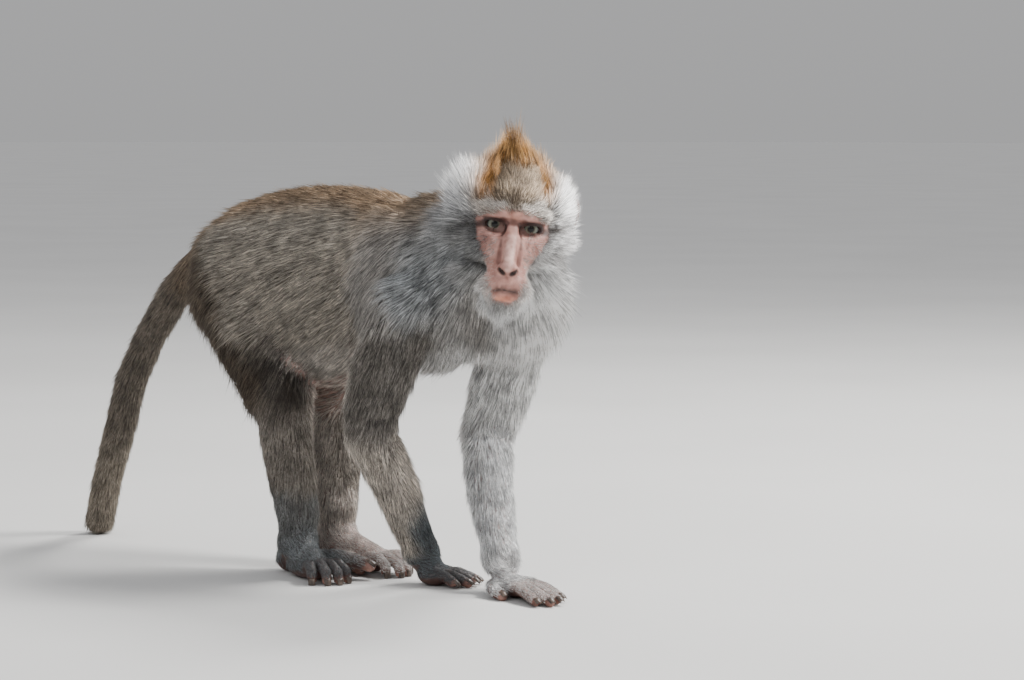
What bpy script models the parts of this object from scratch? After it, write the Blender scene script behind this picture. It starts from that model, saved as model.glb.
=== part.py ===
"""A long-tailed macaque of the Balinese kind, walking with its head turned to its right.

Life size, in metres. The animal faces -Y, its left side is +X, and it stands on z = 0.
The solids give the outline out to the tips of the coat: the body is shaped whole as a
smooth union of rounded forms, then parted at its joints with thin cuts.
"""

import math

import bmesh
import bpy
import numpy as np
from mathutils import Euler, Matrix, Vector

MM = 0.001
VOXEL = 2.6
BLOCK = 30
BODY_TRIANGLES = 4640

# Width of the cuts between parts, the level that the soles are trimmed at, and the
# shortest edges kept at a cut, tried in turn.
GAP = 0.55
TRIM = 1.2
MERGE = (0.8, 0.7, 0.6, 0.5, 0.4, 0.3)
SIDES = {"r": -1, "l": 1}

# Joints of the skeleton, in millimetres.
HIP = {"r": (-32, 117, 256), "l": (32, 118, 258)}
KNEE = {"r": (-37, 28, 160), "l": (35, 36, 158)}
ANKLE = {"r": (-30, 33, 30), "l": (25, 38, 30)}
SHOULDER = {"r": (-46, -98, 254), "l": (46, -134, 252)}
ELBOW = {"r": (-43, -63, 142), "l": (40, -113, 141)}
WRIST = {"r": (-4, -87, 29), "l": (3, -168, 31)}
TAIL = [
    (0, 164, 292),
    (3, 214, 240),
    (7, 248, 203),
    (11, 282, 156),
    (19, 310, 98),
    (27, 334, 56),
    (34, 352, 14),
]
TAIL_RADII = [21, 17, 16, 16, 16, 15.5, 15.5]
NECK_ROOT = (0, -122, 290)

# The head hangs on the point midway between the eyes; it is nodded, tipped and turned.
EYES_MIDDLE = (-42, -218, 311)
HEAD_TURN = Euler([math.radians(a) for a in (8, 8, -49)], "XYZ")
EYE_SPACING = 29.6
EYE_RADIUS = 8.8
SOCKET_RADIUS = 9.7
EAR_PLACE = (47, 50, 4)
EAR_RADII = (13, 4, 18)
EAR_CLEARANCE = 0.9

# Directions in which the hands and feet point, in degrees outwards from straight ahead.
HAND_OUT = {"r": -14, "l": -20}
FOOT_OUT = {"r": 22, "l": -9}
HAND_LENGTH = {"r": 48, "l": 88}
ARM_FRINGE = {"r": 3, "l": 21}
FOOT_LENGTH = {"r": 76, "l": 92}

# The great toes: out from the foot's middle line, forward of the ankle, and up.
GREAT_TOE = {
    "r": [(-8, 8, 17), (-22, 30, 18), (-32, 46, 16), (-40, 60, 13)],
    "l": [(-8, 22, 13), (-15, 36, 12), (-19, 48, 9.5), (-20, 58, 7)],
}

# The trunk at stations along Y: top, bottom and half width, in millimetres.
TRUNK_Y = (-192, -170, -140, -100, -60, -20, 30, 80, 122, 150, 168, 178)
TRUNK_TOP = (258, 292, 314, 329, 337, 342, 343, 337, 325, 308, 290, 258)
TRUNK_BOTTOM = (236, 208, 194, 184, 178, 167, 161, 168, 187, 208, 226, 242)
TRUNK_HALF = (8, 34, 50, 58, 61, 65, 67, 66, 60, 45, 27, 8)


# Colour and roughness of each kind of part.
COLOURS = {
    "head": ((0.42, 0.34, 0.27), 0.8),
    "neck": ((0.36, 0.34, 0.31), 0.9),
    "trunk": ((0.29, 0.25, 0.21), 0.9),
    "tail_root": ((0.24, 0.21, 0.18), 0.9),
    "tail_middle": ((0.26, 0.23, 0.2), 0.9),
    "tail_end": ((0.3, 0.27, 0.24), 0.9),
    "upper_arm": ((0.33, 0.31, 0.28), 0.9),
    "forearm": ((0.42, 0.4, 0.37), 0.9),
    "hand": ((0.2, 0.18, 0.17), 0.7),
    "thigh": ((0.25, 0.21, 0.18), 0.9),
    "shank": ((0.38, 0.36, 0.33), 0.9),
    "foot": ((0.24, 0.21, 0.2), 0.7),
    "ear": ((0.38, 0.24, 0.2), 0.6),
    "eye": ((0.2, 0.17, 0.1), 0.15),
}


def smooth_curve(at, xs, ys):
    """A cubic curve through the stations, read at the places given."""
    xs = np.array(xs, float)
    ys = np.array(ys, float)
    slopes = np.gradient(ys, xs)
    at = np.clip(at, xs[0], xs[-1])
    i = np.clip(np.searchsorted(xs, at) - 1, 0, len(xs) - 2)
    width = xs[i + 1] - xs[i]
    t = (at - xs[i]) / width
    start = 2 * t**3 - 3 * t**2 + 1
    rise = t * (1 - t) ** 2 * width * slopes[i] - t**2 * (1 - t) * width * slopes[i + 1]
    return start * ys[i] + (1 - start) * ys[i + 1] + rise


class Clay:
    """The rounded forms that the body is built up from, each with the blend it joins by."""

    def __init__(self):
        self.forms = []
        self.seeds = []

    def oval(self, centre, radii, turn=None, blend=8, cut=False):
        """An ellipsoid, added or cut away."""
        centre = np.array(centre, float)
        radii = np.array(radii, float)
        turn = np.array(turn.to_matrix()) if turn else np.eye(3)

        def distance(p):
            local = (p - centre) @ turn
            near = np.linalg.norm(local / radii, axis=1) + 1e-9
            steep = np.linalg.norm(local / radii**2, axis=1) + 1e-9
            return near * (near - 1) / steep

        self.forms.append((distance, centre, radii.max(), blend, cut))
        if not cut:
            self.seeds.append((centre, radii, turn))

    def chain(self, points, radii, blend=8):
        """Round bars through a row of points, with one radius to each point."""
        points = [np.array(p, float) for p in points]

        def distance(p):
            best = np.full(len(p), 1e3)
            for i in range(len(points) - 1):
                along = points[i + 1] - points[i]
                t = np.clip((p - points[i]) @ along / (along @ along), 0, 1)
                radius = radii[i] + (radii[i + 1] - radii[i]) * t
                away = np.linalg.norm(p - points[i] - t[:, None] * along, axis=1) - radius
                best = np.minimum(best, away)
            return best

        middle = sum(points) / len(points)
        reach = max(np.linalg.norm(p - middle) for p in points) + max(radii)
        self.forms.append((distance, middle, reach, blend, False))
        for i in range(len(points) - 1):
            length = np.linalg.norm(points[i + 1] - points[i])
            steps = max(2, math.ceil(length / (0.6 * min(radii[i], radii[i + 1]))))
            for t in np.linspace(0, 1, steps + 1):
                radius = radii[i] + (radii[i + 1] - radii[i]) * t
                centre = points[i] + (points[i + 1] - points[i]) * t
                self.seeds.append((centre, np.full(3, radius), np.eye(3)))

    def limb(self, start, end, start_radius, end_radius, blend=8):
        """A round bar that tapers from one ball to another."""
        self.chain([start, end], [start_radius, end_radius], blend)

    def trunk(self):
        """An oval tube whose top, bottom and width follow the trunk's stations."""

        def distance(p):
            top = smooth_curve(p[:, 1], TRUNK_Y, TRUNK_TOP)
            bottom = smooth_curve(p[:, 1], TRUNK_Y, TRUNK_BOTTOM)
            half = smooth_curve(p[:, 1], TRUNK_Y, TRUNK_HALF)
            tall = (top - bottom) / 2
            across = np.sqrt((p[:, 0] / half) ** 2 + ((p[:, 2] - (top + bottom) / 2) / tall) ** 2)
            beyond = np.maximum(TRUNK_Y[0] - p[:, 1], p[:, 1] - TRUNK_Y[-1])
            return np.maximum((across - 1) * np.minimum(tall, half), beyond)

        middle = (TRUNK_Y[0] + TRUNK_Y[-1]) / 2
        self.forms.append((distance, np.array((0, middle, 255)), 240, 14, False))
        for y in range(TRUNK_Y[0] + 12, TRUNK_Y[-1] - 8, 8):
            top, bottom, half = (
                float(smooth_curve(y, TRUNK_Y, row)) for row in (TRUNK_TOP, TRUNK_BOTTOM, TRUNK_HALF)
            )
            tall = (top - bottom) / 2
            radii = np.array((half, 0.5 * min(half, tall), tall))
            self.seeds.append((np.array((0, y, (top + bottom) / 2)), radii, np.eye(3)))

    def distance(self, p, forms):
        """Distance from the smooth union of the forms, in millimetres."""
        total = np.full(len(p), 60.0)
        for form, _, _, blend, cut in forms:
            sign = -1 if cut else 1
            new = sign * form(p)
            mix = np.clip(0.5 + sign * (total - new) / (2 * blend), 0, 1)
            total = total * (1 - mix) + new * mix - sign * blend * mix * (1 - mix)
        return total

    def settle(self, mesh, rounds):
        """Moves a mesh's points onto the surface of the forms, one block of space at a time."""
        points = np.empty(len(mesh.vertices) * 3)
        mesh.vertices.foreach_get("co", points)
        points = points.reshape(-1, 3) / MM
        blocks, block_of = np.unique(np.floor(points / BLOCK), axis=0, return_inverse=True)
        block_of = block_of.ravel()
        order = np.argsort(block_of, kind="stable")
        ends = np.cumsum(np.bincount(block_of))
        for block, members in zip(blocks, np.split(order, ends[:-1])):
            middle = (block + 0.5) * BLOCK
            near = [f for f in self.forms if np.linalg.norm(f[1] - middle) < f[2] + 1.6 * BLOCK]
            p = points[members]
            for _ in range(rounds if near else 0):
                here = self.distance(p, near)
                probes = (p[None] + 0.4 * np.eye(3)[:, None]).reshape(-1, 3)
                slope = (self.distance(probes, near).reshape(3, -1) - here).T / 0.4
                move = slope * (here / np.maximum((slope**2).sum(1), 0.25))[:, None]
                length = np.linalg.norm(move, axis=1, keepdims=True)
                p -= move * np.minimum(1, 3 / np.maximum(length, 1e-9))
            points[members] = p
        mesh.vertices.foreach_set("co", (points * MM).ravel())
        mesh.update()


def head_point(x, y, z):
    """A place on the head, from left, back and up of the point between the eyes."""
    return Vector(EYES_MIDDLE) + HEAD_TURN.to_matrix() @ Vector((x, y, z))


def ground_frame(side, joint, degrees_out):
    """Reads places on a hand or foot: outwards, forwards along it, and up from the ground."""
    s = SIDES[side]
    frame = Euler((0, 0, s * math.radians(degrees_out))).to_matrix()
    return lambda x, y, z: Vector((joint.x, joint.y, 0)) + frame @ Vector((x * s, -y, z))


def add_legs(clay):
    """Haunch, thigh, calf and ankle."""
    for side, s in SIDES.items():
        hip, knee, ankle = (Vector(joint[side]) for joint in (HIP, KNEE, ANKLE))
        clay.oval(hip + Vector((-6 * s, -8, 0)), (36, 50, 50), Euler((0.5, 0, 0)), 16)
        clay.limb(hip + Vector((-2 * s, -14, -16)), knee + Vector((0, 26, 8)), 43, 32, 14)
        clay.limb(hip + Vector((2 * s, -40, -30)), knee + Vector((0, 18, 4)), 34, 28, 14)
        shin = [knee + Vector((0, 16, -6)), knee + Vector((0, 10, -50)), ankle + Vector((0, 0, 24))]
        clay.chain([*shin, ankle], [29, 26.5, 23, 17.5], 10)


def add_arms(clay):
    """Shoulder, upper arm and forearm."""
    for side, s in SIDES.items():
        shoulder, elbow, wrist = (Vector(joint[side]) for joint in (SHOULDER, ELBOW, WRIST))
        clay.oval(shoulder + Vector((-10 * s, 10, 8)), (34, 46, 62), Euler((-0.3, 0, 0)), 16)
        front = Vector((0, -ARM_FRINGE[side], 0))
        upper = [shoulder + Vector((-3 * s, -6, -10)), shoulder.lerp(elbow, 0.6), elbow + Vector((0, 0, 12))]
        lower = [elbow + Vector((0, 0, -12)), wrist.lerp(elbow, 0.5), wrist.lerp(elbow, 0.16), wrist]
        upper = [p + front for p in upper]
        clay.chain([*upper, *lower], [36, 34, 30, 26.5, 24, 18.5, 15], 12)


def add_digit(clay, points, radius):
    """A finger or toe of three bones; its tip rests on the ground."""
    clay.chain(points, [radius * f for f in (1.1, 1.05, 1.0, 0.85)], 3)


def add_hand(clay, side):
    """The palm, four fingers that fan out, and the thumb on the inner side."""
    wrist = Vector(WRIST[side])
    place = ground_frame(side, wrist, HAND_OUT[side])
    length = HAND_LENGTH[side]
    palm = 0.42 * length
    clay.limb(wrist, place(0, 8, 16), 15, 12, 8)
    clay.oval(place(0, 0.28 * length, 10), (18, 0.3 * length, 10), turned(side, HAND_OUT), 6)
    for i, share in enumerate((0.95, 1.0, 0.97, 0.82)):
        out = i - 1.5
        ends = [(6.5 * out, palm, 11.5), (7.5 * out, 0, 11), (8.5 * out, 0, 8), (9 * out, 0, 5)]
        reach = share * length - palm
        points = [place(x, palm + reach * part, z) for (x, _, z), part in zip(ends, (0, 0.35, 0.75, 1))]
        add_digit(clay, points, 5.8)
    thumb = [(-13, 0.12, 9), (-20, 0.26, 8), (-22, 0.36, 6.5), (-22, 0.46, 5)]
    add_digit(clay, [place(x, part * length, z) for x, part, z in thumb], 5.6)


def add_foot(clay, side):
    """The sole from heel to ball, four curled toes, and the great toe beside them."""
    ankle = Vector(ANKLE[side])
    place = ground_frame(side, ankle, FOOT_OUT[side])
    length = FOOT_LENGTH[side]
    ball = 0.58 * length
    clay.limb(ankle, place(0, -18, 12.5), 15, 12.5, 8)
    clay.chain([ankle, place(1, 0.25 * length, 21), place(2, ball, 15)], [15, 14, 11], 8)
    clay.oval(place(1, 0.3 * length, 10), (15, 0.42 * length, 10), turned(side, FOOT_OUT), 6)
    for i, share in enumerate((0.93, 1.0, 0.97, 0.86)):
        out = i - 1.5
        reach = share * length - ball
        ends = [(6.5 * out, 0, 15), (8 * out, 0.55, 18), (9 * out, 0.92, 13), (9.5 * out, 1, 5.2)]
        add_digit(clay, [place(x + 2, ball + reach * part, z) for x, part, z in ends], 5.9)
    add_digit(clay, [place(*p) for p in GREAT_TOE[side]], 7.0)


def turned(side, out):
    """How an oval in a hand or foot is turned."""
    return Euler((0, 0, SIDES[side] * math.radians(out[side])))


def add_tail(clay):
    clay.chain([Vector(p) for p in TAIL], TAIL_RADII, 8)


def add_neck(clay):
    clay.limb(NECK_ROOT, head_point(0, 52, -14), 54, 46, 20)
    clay.limb((4, -160, 256), head_point(0, 20, -48), 48, 36, 20)
    clay.oval((22, -172, 236), (53, 44, 52), None, 18)


def add_head(clay):
    turn = HEAD_TURN

    def oval(x, y, z, radii, blend=8, cut=False):
        clay.oval(head_point(x, y, z), radii, turn, blend, cut)

    def limb(start, end, start_radius, end_radius, blend=6):
        clay.limb(head_point(*start), head_point(*end), start_radius, end_radius, blend)

    oval(0, 42, 16, (44, 50, 42), 10)
    oval(0, 14, 14, (37, 24, 24), 8)
    for s in SIDES.values():
        oval(34 * s, 26, -16, (25, 28, 38), 10)
        oval(16 * s, -2, -18, (14, 12, 16), 6)
    oval(-36, 26, 24, (24, 24, 30), 10)
    oval(33, 26, 20, (21, 24, 28), 10)
    limb((0, 24, 46), (-11, 28, 81), 16, 1.8, 12)
    limb((0, -2, -16), (0, -24, -42), 21, 15.5, 8)
    limb((-7, -27, -46), (7, -27, -46), 13.5, 13.5, 5)
    limb((0, -8, 0), (0, -33, -29), 6, 6, 4)
    limb((-4, -33, -31), (4, -33, -31), 5, 5, 3)
    limb((0, -22, -56), (0, 20, -52), 12, 27, 8)
    limb((-20, -5, 9.5), (20, -5, 9.5), 8, 8, 5)
    for s in SIDES.values():
        oval(EYE_SPACING / 2 * s, -12, -1, (9, 7, 6), 3, cut=True)


def seed_mesh(clay):
    """One ball for each seed, as loose shells that the voxels will merge."""
    bm = bmesh.new()
    bmesh.ops.create_icosphere(bm, subdivisions=2, radius=1)
    ball = np.array([v.co for v in bm.verts])
    faces = np.array([[v.index for v in f.verts] for f in bm.faces])
    bm.free()
    points = [centre + (ball * radii * 0.94) @ turn.T for centre, radii, turn in clay.seeds]
    shells = [faces + i * len(ball) for i in range(len(points))]
    mesh = bpy.data.meshes.new("body")
    mesh.from_pydata(np.concatenate(points) * MM, [], np.concatenate(shells).tolist())
    return mesh


def detail_weight(mesh, weights):
    """How far each point may be thinned: little on the face, the hands and the feet."""
    face = head_point(0, -16, -22)
    ends = [Vector(joint[side]) for side in SIDES for joint in (WRIST, ANKLE)]
    for vertex in mesh.vertices:
        place = vertex.co / MM
        near_face = (place - face).length < 44
        low = place.z < 24 and min((place - end).length for end in ends) < 110
        weights.add([vertex.index], 0.4 if near_face else 0.6 if low else 1.0, "REPLACE")


def build_body(clay):
    """The seeds become one mesh by voxels, which settles on the smooth forms and is thinned."""
    body = bpy.data.objects.new("body", seed_mesh(clay))
    bpy.context.collection.objects.link(body)
    remesh = body.modifiers.new("voxels", "REMESH")
    remesh.mode = "VOXEL"
    remesh.voxel_size = VOXEL * MM
    bake(body)
    clay.settle(body.data, 3)
    smooth = body.modifiers.new("even", "SMOOTH")
    smooth.iterations = 2
    smooth.factor = 0.5
    bake(body)
    group = body.vertex_groups.new(name="thin")
    detail_weight(body.data, group)
    thin = body.modifiers.new("thin", "DECIMATE")
    thin.vertex_group = group.name
    thin.vertex_group_factor = 0.00005
    thin.ratio = BODY_TRIANGLES / (2 * len(body.data.polygons))
    thin.use_collapse_triangulate = True
    bake(body)
    body.vertex_groups.clear()
    clay.settle(body.data, 3)
    return body


def bake(obj):
    """Turns the object's modifiers into its mesh."""
    bpy.context.view_layer.update()
    graph = bpy.context.evaluated_depsgraph_get()
    mesh = bpy.data.meshes.new_from_object(obj.evaluated_get(graph))
    obj.modifiers.clear()
    obj.data = mesh


def surface(points, faces):
    mesh = bpy.data.meshes.new("surface")
    mesh.from_pydata([Vector(p) * MM for p in points], [], faces)
    return mesh


def joined(meshes):
    """Several separate meshes as one."""
    bm = bmesh.new()
    for mesh in meshes:
        bm.from_mesh(mesh)
    whole = bpy.data.meshes.new("cutter")
    bm.to_mesh(whole)
    bm.free()
    return whole


def slice_at(place, along, radius):
    """A flat disc as thick as the gap, square to a limb's run."""
    turn = Vector(along).to_track_quat("Z", "Y")
    rim = [(math.cos(a) * radius, math.sin(a) * radius) for a in np.linspace(0, math.tau, 25)[:-1]]
    points = [turn @ Vector((x, y, z)) + Vector(place) for z in (-GAP / 2, GAP / 2) for x, y in rim]
    sides = [(i, (i + 1) % 24, 24 + (i + 1) % 24, 24 + i) for i in range(24)]
    return surface(points, [tuple(range(23, -1, -1)), *sides, tuple(range(24, 48))])


def region(sections, grow, place=Vector, around=10, power=0.7):
    """A rounded region given by level, centre and half widths, grown or shrunk a little."""
    points = []
    for z, x, y, half_x, half_y in sections:
        for angle in np.linspace(0, math.tau, around + 1)[:-1]:
            across, along = math.cos(angle), math.sin(angle)
            across, along = (math.copysign(abs(v) ** power, v) for v in (across, along))
            points.append(place((x + half_x * across, y + half_y * along, z)))
    rings = len(sections)
    faces = [tuple(range(around - 1, -1, -1)), tuple(range((rings - 1) * around, rings * around))]
    for ring in range(rings - 1):
        for i in range(around):
            a, b = ring * around + i, ring * around + (i + 1) % around
            faces += [(a, b, b + around), (a, b + around, a + around)]
    skin = surface(points, faces)
    return surface([p + v.normal * grow for p, v in zip(points, skin.vertices)], faces)


def cut(obj, mesh, operation="DIFFERENCE"):
    """Takes a mesh away from the object, or keeps only what lies inside it."""
    cutter = bpy.data.objects.new("cutter", mesh)
    bpy.context.collection.objects.link(cutter)
    modifier = obj.modifiers.new("cut", "BOOLEAN")
    modifier.operation = operation
    modifier.solver = "EXACT"
    modifier.use_self = True
    modifier.object = cutter
    bake(obj)
    bpy.data.objects.remove(cutter)


def carve(obj, name, sections, place=Vector):
    """Takes the part inside a region out of the object, as an object of its own."""
    piece = bpy.data.objects.new(name, obj.data.copy())
    bpy.context.collection.objects.link(piece)
    cut(piece, region(sections, -GAP / 2, place), "INTERSECT")
    cut(obj, region(sections, GAP / 2, place))
    return piece


def split(obj):
    """The separate shells of an object, as new objects."""
    bm = bmesh.new()
    bm.from_mesh(obj.data)
    seen = set()
    pieces = []
    for first in bm.faces:
        if first in seen:
            continue
        seen.add(first)
        shell = [first]
        for face in shell:
            around = {other for edge in face.edges for other in edge.link_faces} - seen
            seen |= around
            shell += sorted(around, key=lambda f: f.index)
        index = {}
        for face in shell:
            for vertex in face.verts:
                index.setdefault(vertex, len(index))
        mesh = bpy.data.meshes.new("piece")
        mesh.from_pydata([v.co for v in index], [], [[index[v] for v in f.verts] for f in shell])
        pieces.append(bpy.data.objects.new("piece", mesh))
    bm.free()
    bpy.data.objects.remove(obj)
    for piece in pieces:
        bpy.context.collection.objects.link(piece)
    return pieces


def name_pieces(pieces, landmarks):
    """Each piece takes the name of the nearest landmark."""
    for piece in pieces:
        middle = sum((v.co for v in piece.data.vertices), Vector()) / len(piece.data.vertices) / MM
        piece.name = min(landmarks, key=lambda name: (Vector(landmarks[name]) - middle).length)


def limb_cuts():
    """The cuts square across ankles, knees, wrists, elbows and tail, and the pieces they make."""
    cuts = []
    marks = {"trunk": (0, -40, 260)}
    for side in SIDES:
        knee, ankle, elbow, wrist = (Vector(j[side]) for j in (KNEE, ANKLE, ELBOW, WRIST))
        fore = (wrist - elbow).normalized()
        cuts.append(slice_at(ankle + Vector((0, 0, 8)), (0, 0, 1), 26))
        cuts.append(slice_at(knee + Vector((SIDES[side], 15, -17)), (0, 0, 1), 36))
        cuts.append(slice_at(wrist - fore * 11, fore, 25))
        cuts.append(slice_at(elbow + Vector((0, -ARM_FRINGE[side] / 2, 0)), (0, 0, 1), 40))
        marks["foot_" + side] = ankle + Vector((0, -30, -15))
        marks["shank_" + side] = (knee + ankle) / 2
        marks["hand_" + side] = wrist + Vector((0, -30, -15))
        marks["forearm_" + side] = (elbow + wrist) / 2
    for place, name in ((0.85, "tail_root"), (2.2, "tail_middle"), (4.0, "tail_end")):
        i = int(place)
        start, end = Vector(TAIL[i]), Vector(TAIL[i + 1])
        cuts.append(slice_at(start.lerp(end, place - i), end - start, 29))
        marks[name] = Vector(TAIL[min(i + 2, 5)])
    return joined(cuts), marks


# The slit between the thighs: level, centre and half widths, as in the regions below it.
SLIT = [(105, -1, 58, 2.6, 56), (174, -1, 62, 2.6, 54), (182, -1, 66, 1.2, 40)]
THIGH_WALL = {
    "r": [
        (130, -38, 50, 36.5, 47),
        (168, -38, 52, 36.5, 50),
        (190, -45, 64, 35, 56),
        (215, -50, 85, 34, 60),
    ],
    "l": [
        (130, 36, 52, 36.5, 47),
        (168, 36, 54, 36.5, 50),
        (190, 44, 66, 35, 56),
        (215, 50, 87, 34, 60),
    ],
}
THIGH_TOP = [(245, 54, 98, 33, 52), (278, 59, 105, 27, 36), (296, 62, 107, 16, 18)]
ARM_WALL = {
    "r": [
        (118, 42, -66, 37, 44),
        (150, 43, -68, 38, 45),
        (181, 46, -80, 39, 48),
        (207, 53, -89, 36, 50),
        (245, 60, -97, 31, 44),
        (272, 64, -97, 20, 28),
    ],
    "l": [
        (118, 41, -121, 37, 46),
        (150, 42, -130, 38, 50),
        (181, 46, -140, 39, 51),
        (207, 53, -146, 36, 52),
        (240, 58, -150, 32, 46),
        (268, 61, -148, 20, 30),
    ],
}
HEAD_WALL = [
    (-78, 0, -6, 30, 34),
    (-52, 0, 2, 52, 56),
    (-16, 0, 14, 66, 62),
    (18, 0, 27, 64, 70),
    (56, 0, 28, 54, 58),
    (92, -8, 28, 24, 26),
]
NECK_WALL = [
    (225, -6, -190, 26, 26),
    (245, -10, -190, 56, 50),
    (280, -12, -190, 70, 64),
    (320, -12, -190, 70, 64),
    (352, -12, -190, 52, 48),
    (366, -12, -190, 24, 22),
]


def tidy_piece(obj):
    """Merges the short edges that the cuts leave, and keeps the largest shell."""
    name = obj.name
    for reach in MERGE:
        bm = bmesh.new()
        bm.from_mesh(obj.data)
        bmesh.ops.triangulate(bm, faces=bm.faces)
        bmesh.ops.remove_doubles(bm, verts=bm.verts, dist=reach * MM)
        bmesh.ops.dissolve_degenerate(bm, edges=bm.edges, dist=0.01 * MM)
        closed = all(edge.is_manifold for edge in bm.edges)
        if closed:
            bm.to_mesh(obj.data)
        bm.free()
        if closed:
            break
    shells = sorted(split(obj), key=lambda shell: len(shell.data.vertices))
    for crumb in shells[:-1]:
        bpy.data.objects.remove(crumb)
    shells[-1].name = name
    return shells[-1]


def part_body(body):
    """Cuts the body into its pieces and names them."""
    cut(body, region(SLIT, 0))
    cuts, marks = limb_cuts()
    cut(body, cuts)
    pieces = split(body)
    name_pieces(pieces, marks)
    trunk = next(p for p in pieces if p.name == "trunk")
    pieces.remove(trunk)
    for side, s in SIDES.items():
        top = [(z, x * s, y, a, b) for z, x, y, a, b in THIGH_TOP]
        pieces.append(carve(trunk, "thigh_" + side, THIGH_WALL[side] + top))
        arm = [(z, x * s, y, a, b) for z, x, y, a, b in ARM_WALL[side]]
        pieces.append(carve(trunk, "upper_arm_" + side, arm))
    pieces.append(carve(trunk, "head", HEAD_WALL, lambda p: head_point(*p)))
    pieces.append(carve(trunk, "neck", NECK_WALL))
    pieces.append(trunk)
    return pieces


def ball(radii, place, turn, detail=2):
    """An oval solid at a place on the head."""
    bm = bmesh.new()
    bmesh.ops.create_icosphere(bm, subdivisions=detail, radius=1)
    for vertex in bm.verts:
        local = Vector([a * b for a, b in zip(vertex.co, radii)])
        vertex.co = (turn @ local + head_point(*place)) * MM
    mesh = bpy.data.meshes.new("ball")
    bm.to_mesh(mesh)
    bm.free()
    return mesh


def add_eyes_and_ears(pieces):
    """Eyeballs and flat oval ears, each in a socket that clears it."""
    head = next(p for p in pieces if p.name == "head")
    neck = next(p for p in pieces if p.name == "neck")
    face = HEAD_TURN.to_matrix()
    extras = []
    for side, s in SIDES.items():
        eye = (s * EYE_SPACING / 2, 0, 0)
        cut(head, ball([SOCKET_RADIUS] * 3, eye, face))
        extras.append(bpy.data.objects.new("eye_" + side, ball([EYE_RADIUS] * 3, eye, face, 3)))
        lean = face @ Euler((math.radians(-8), math.radians(s * 12), math.radians(s * -62))).to_matrix()
        ear = (s * EAR_PLACE[0], *EAR_PLACE[1:])
        grown = [radius + EAR_CLEARANCE for radius in EAR_RADII]
        cut(head, ball(grown, ear, lean))
        cut(neck, ball(grown, ear, lean))
        extras.append(bpy.data.objects.new("ear_" + side, ball(EAR_RADII, ear, lean)))
    for extra in extras:
        bpy.context.collection.objects.link(extra)
    return extras


def trim_flat(pieces):
    """Trims soles, palms and the tail's end to one level."""
    floor = surface(
        [(x, y, z) for z in (-60, TRIM) for x, y in ((-200, -500), (200, -500), (200, 500), (-200, 500))],
        [(3, 2, 1, 0), (4, 5, 6, 7), (0, 1, 5, 4), (1, 2, 6, 5), (2, 3, 7, 6), (3, 0, 4, 7)],
    )
    for piece in pieces:
        if piece.name.startswith(("foot", "hand", "tail_end")):
            cut(piece, floor)


def recentre(pieces):
    """Puts the bottom centre of the model's box on the origin."""
    points = [v.co for piece in pieces for v in piece.data.vertices]
    low, high = ([pick(p[i] for p in points) for i in range(3)] for pick in (min, max))
    middle = Vector(((low[0] + high[0]) / 2, (low[1] + high[1]) / 2, low[2]))
    for piece in pieces:
        piece.data.transform(Matrix.Translation(-middle))


def paint(piece):
    """The piece's own material, from the colours of its part of the coat."""
    stem = piece.name.removesuffix("_l").removesuffix("_r")
    colour, roughness = COLOURS[stem]
    material = bpy.data.materials.new(piece.name)
    material.use_nodes = True
    shader = material.node_tree.nodes["Principled BSDF"]
    shader.inputs["Base Color"].default_value = (*colour, 1)
    shader.inputs["Roughness"].default_value = roughness
    shader.inputs["Metallic"].default_value = 0
    piece.data.materials.clear()
    piece.data.materials.append(material)
    piece.data.polygons.foreach_set("use_smooth", [True] * len(piece.data.polygons))
    piece.data.set_sharp_from_angle(angle=math.radians(50))


for old in list(bpy.data.objects):
    bpy.data.objects.remove(old)

clay = Clay()
clay.trunk()
add_legs(clay)
add_arms(clay)
add_neck(clay)
add_tail(clay)
for side in SIDES:
    add_hand(clay, side)
    add_foot(clay, side)
add_head(clay)
body = build_body(clay)
pieces = part_body(body)
extras = add_eyes_and_ears(pieces)
trim_flat(pieces)
pieces = [tidy_piece(piece) for piece in pieces] + extras
recentre(pieces)
for piece in pieces:
    paint(piece)
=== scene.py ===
"""A long-tailed macaque of the Balinese kind, walking with its head turned to its right.

Life size, in metres. The animal faces -Y, its left side is +X, and it stands on z = 0.
Sizes in the sections are millimetres from the modeller's own bench origin, and BENCH
moves each finished piece from there to its place over the floor.
"""
import math
from collections import namedtuple
from functools import partial

import bmesh
import bpy
import numpy as np
from mathutils import Euler, Matrix, Vector


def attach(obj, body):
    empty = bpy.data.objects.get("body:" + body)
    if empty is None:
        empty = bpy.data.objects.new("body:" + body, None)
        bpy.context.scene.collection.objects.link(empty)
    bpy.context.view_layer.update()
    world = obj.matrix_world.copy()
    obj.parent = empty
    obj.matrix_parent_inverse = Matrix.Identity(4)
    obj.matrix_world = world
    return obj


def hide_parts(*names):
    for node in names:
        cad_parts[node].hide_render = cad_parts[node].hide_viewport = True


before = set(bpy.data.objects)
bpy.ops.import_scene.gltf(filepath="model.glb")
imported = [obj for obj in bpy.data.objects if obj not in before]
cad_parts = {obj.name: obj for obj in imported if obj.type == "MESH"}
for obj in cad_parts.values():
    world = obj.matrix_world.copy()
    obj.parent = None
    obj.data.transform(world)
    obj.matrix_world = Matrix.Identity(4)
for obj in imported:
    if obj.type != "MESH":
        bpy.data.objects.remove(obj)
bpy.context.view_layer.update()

# ---------------------------------------------------------------- Skin
# One soft hide over the whole animal, from the crown to the tail's blunt end. It is bare
# on the face, the palms and the soles, and lies under the coat elsewhere.
# Rounded forms join smoothly, and a fine mesh is pulled onto them.
MM = 0.001
BENCH = Vector((-0.631, -56.784, -1.2))
VOXEL = 2.9
FLOOR = 1.35  # lowest point of the hide, just over the floor
SEED = 0.94  # size of the rough form inside each finished one
BLOCK = 30  # side of the blocks of space that points are settled in
PROBE = 0.3  # reach of the feel for the slope
STRIDE = 3  # longest single move of a point
SIDES = {"r": -1, "l": 1}

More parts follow.
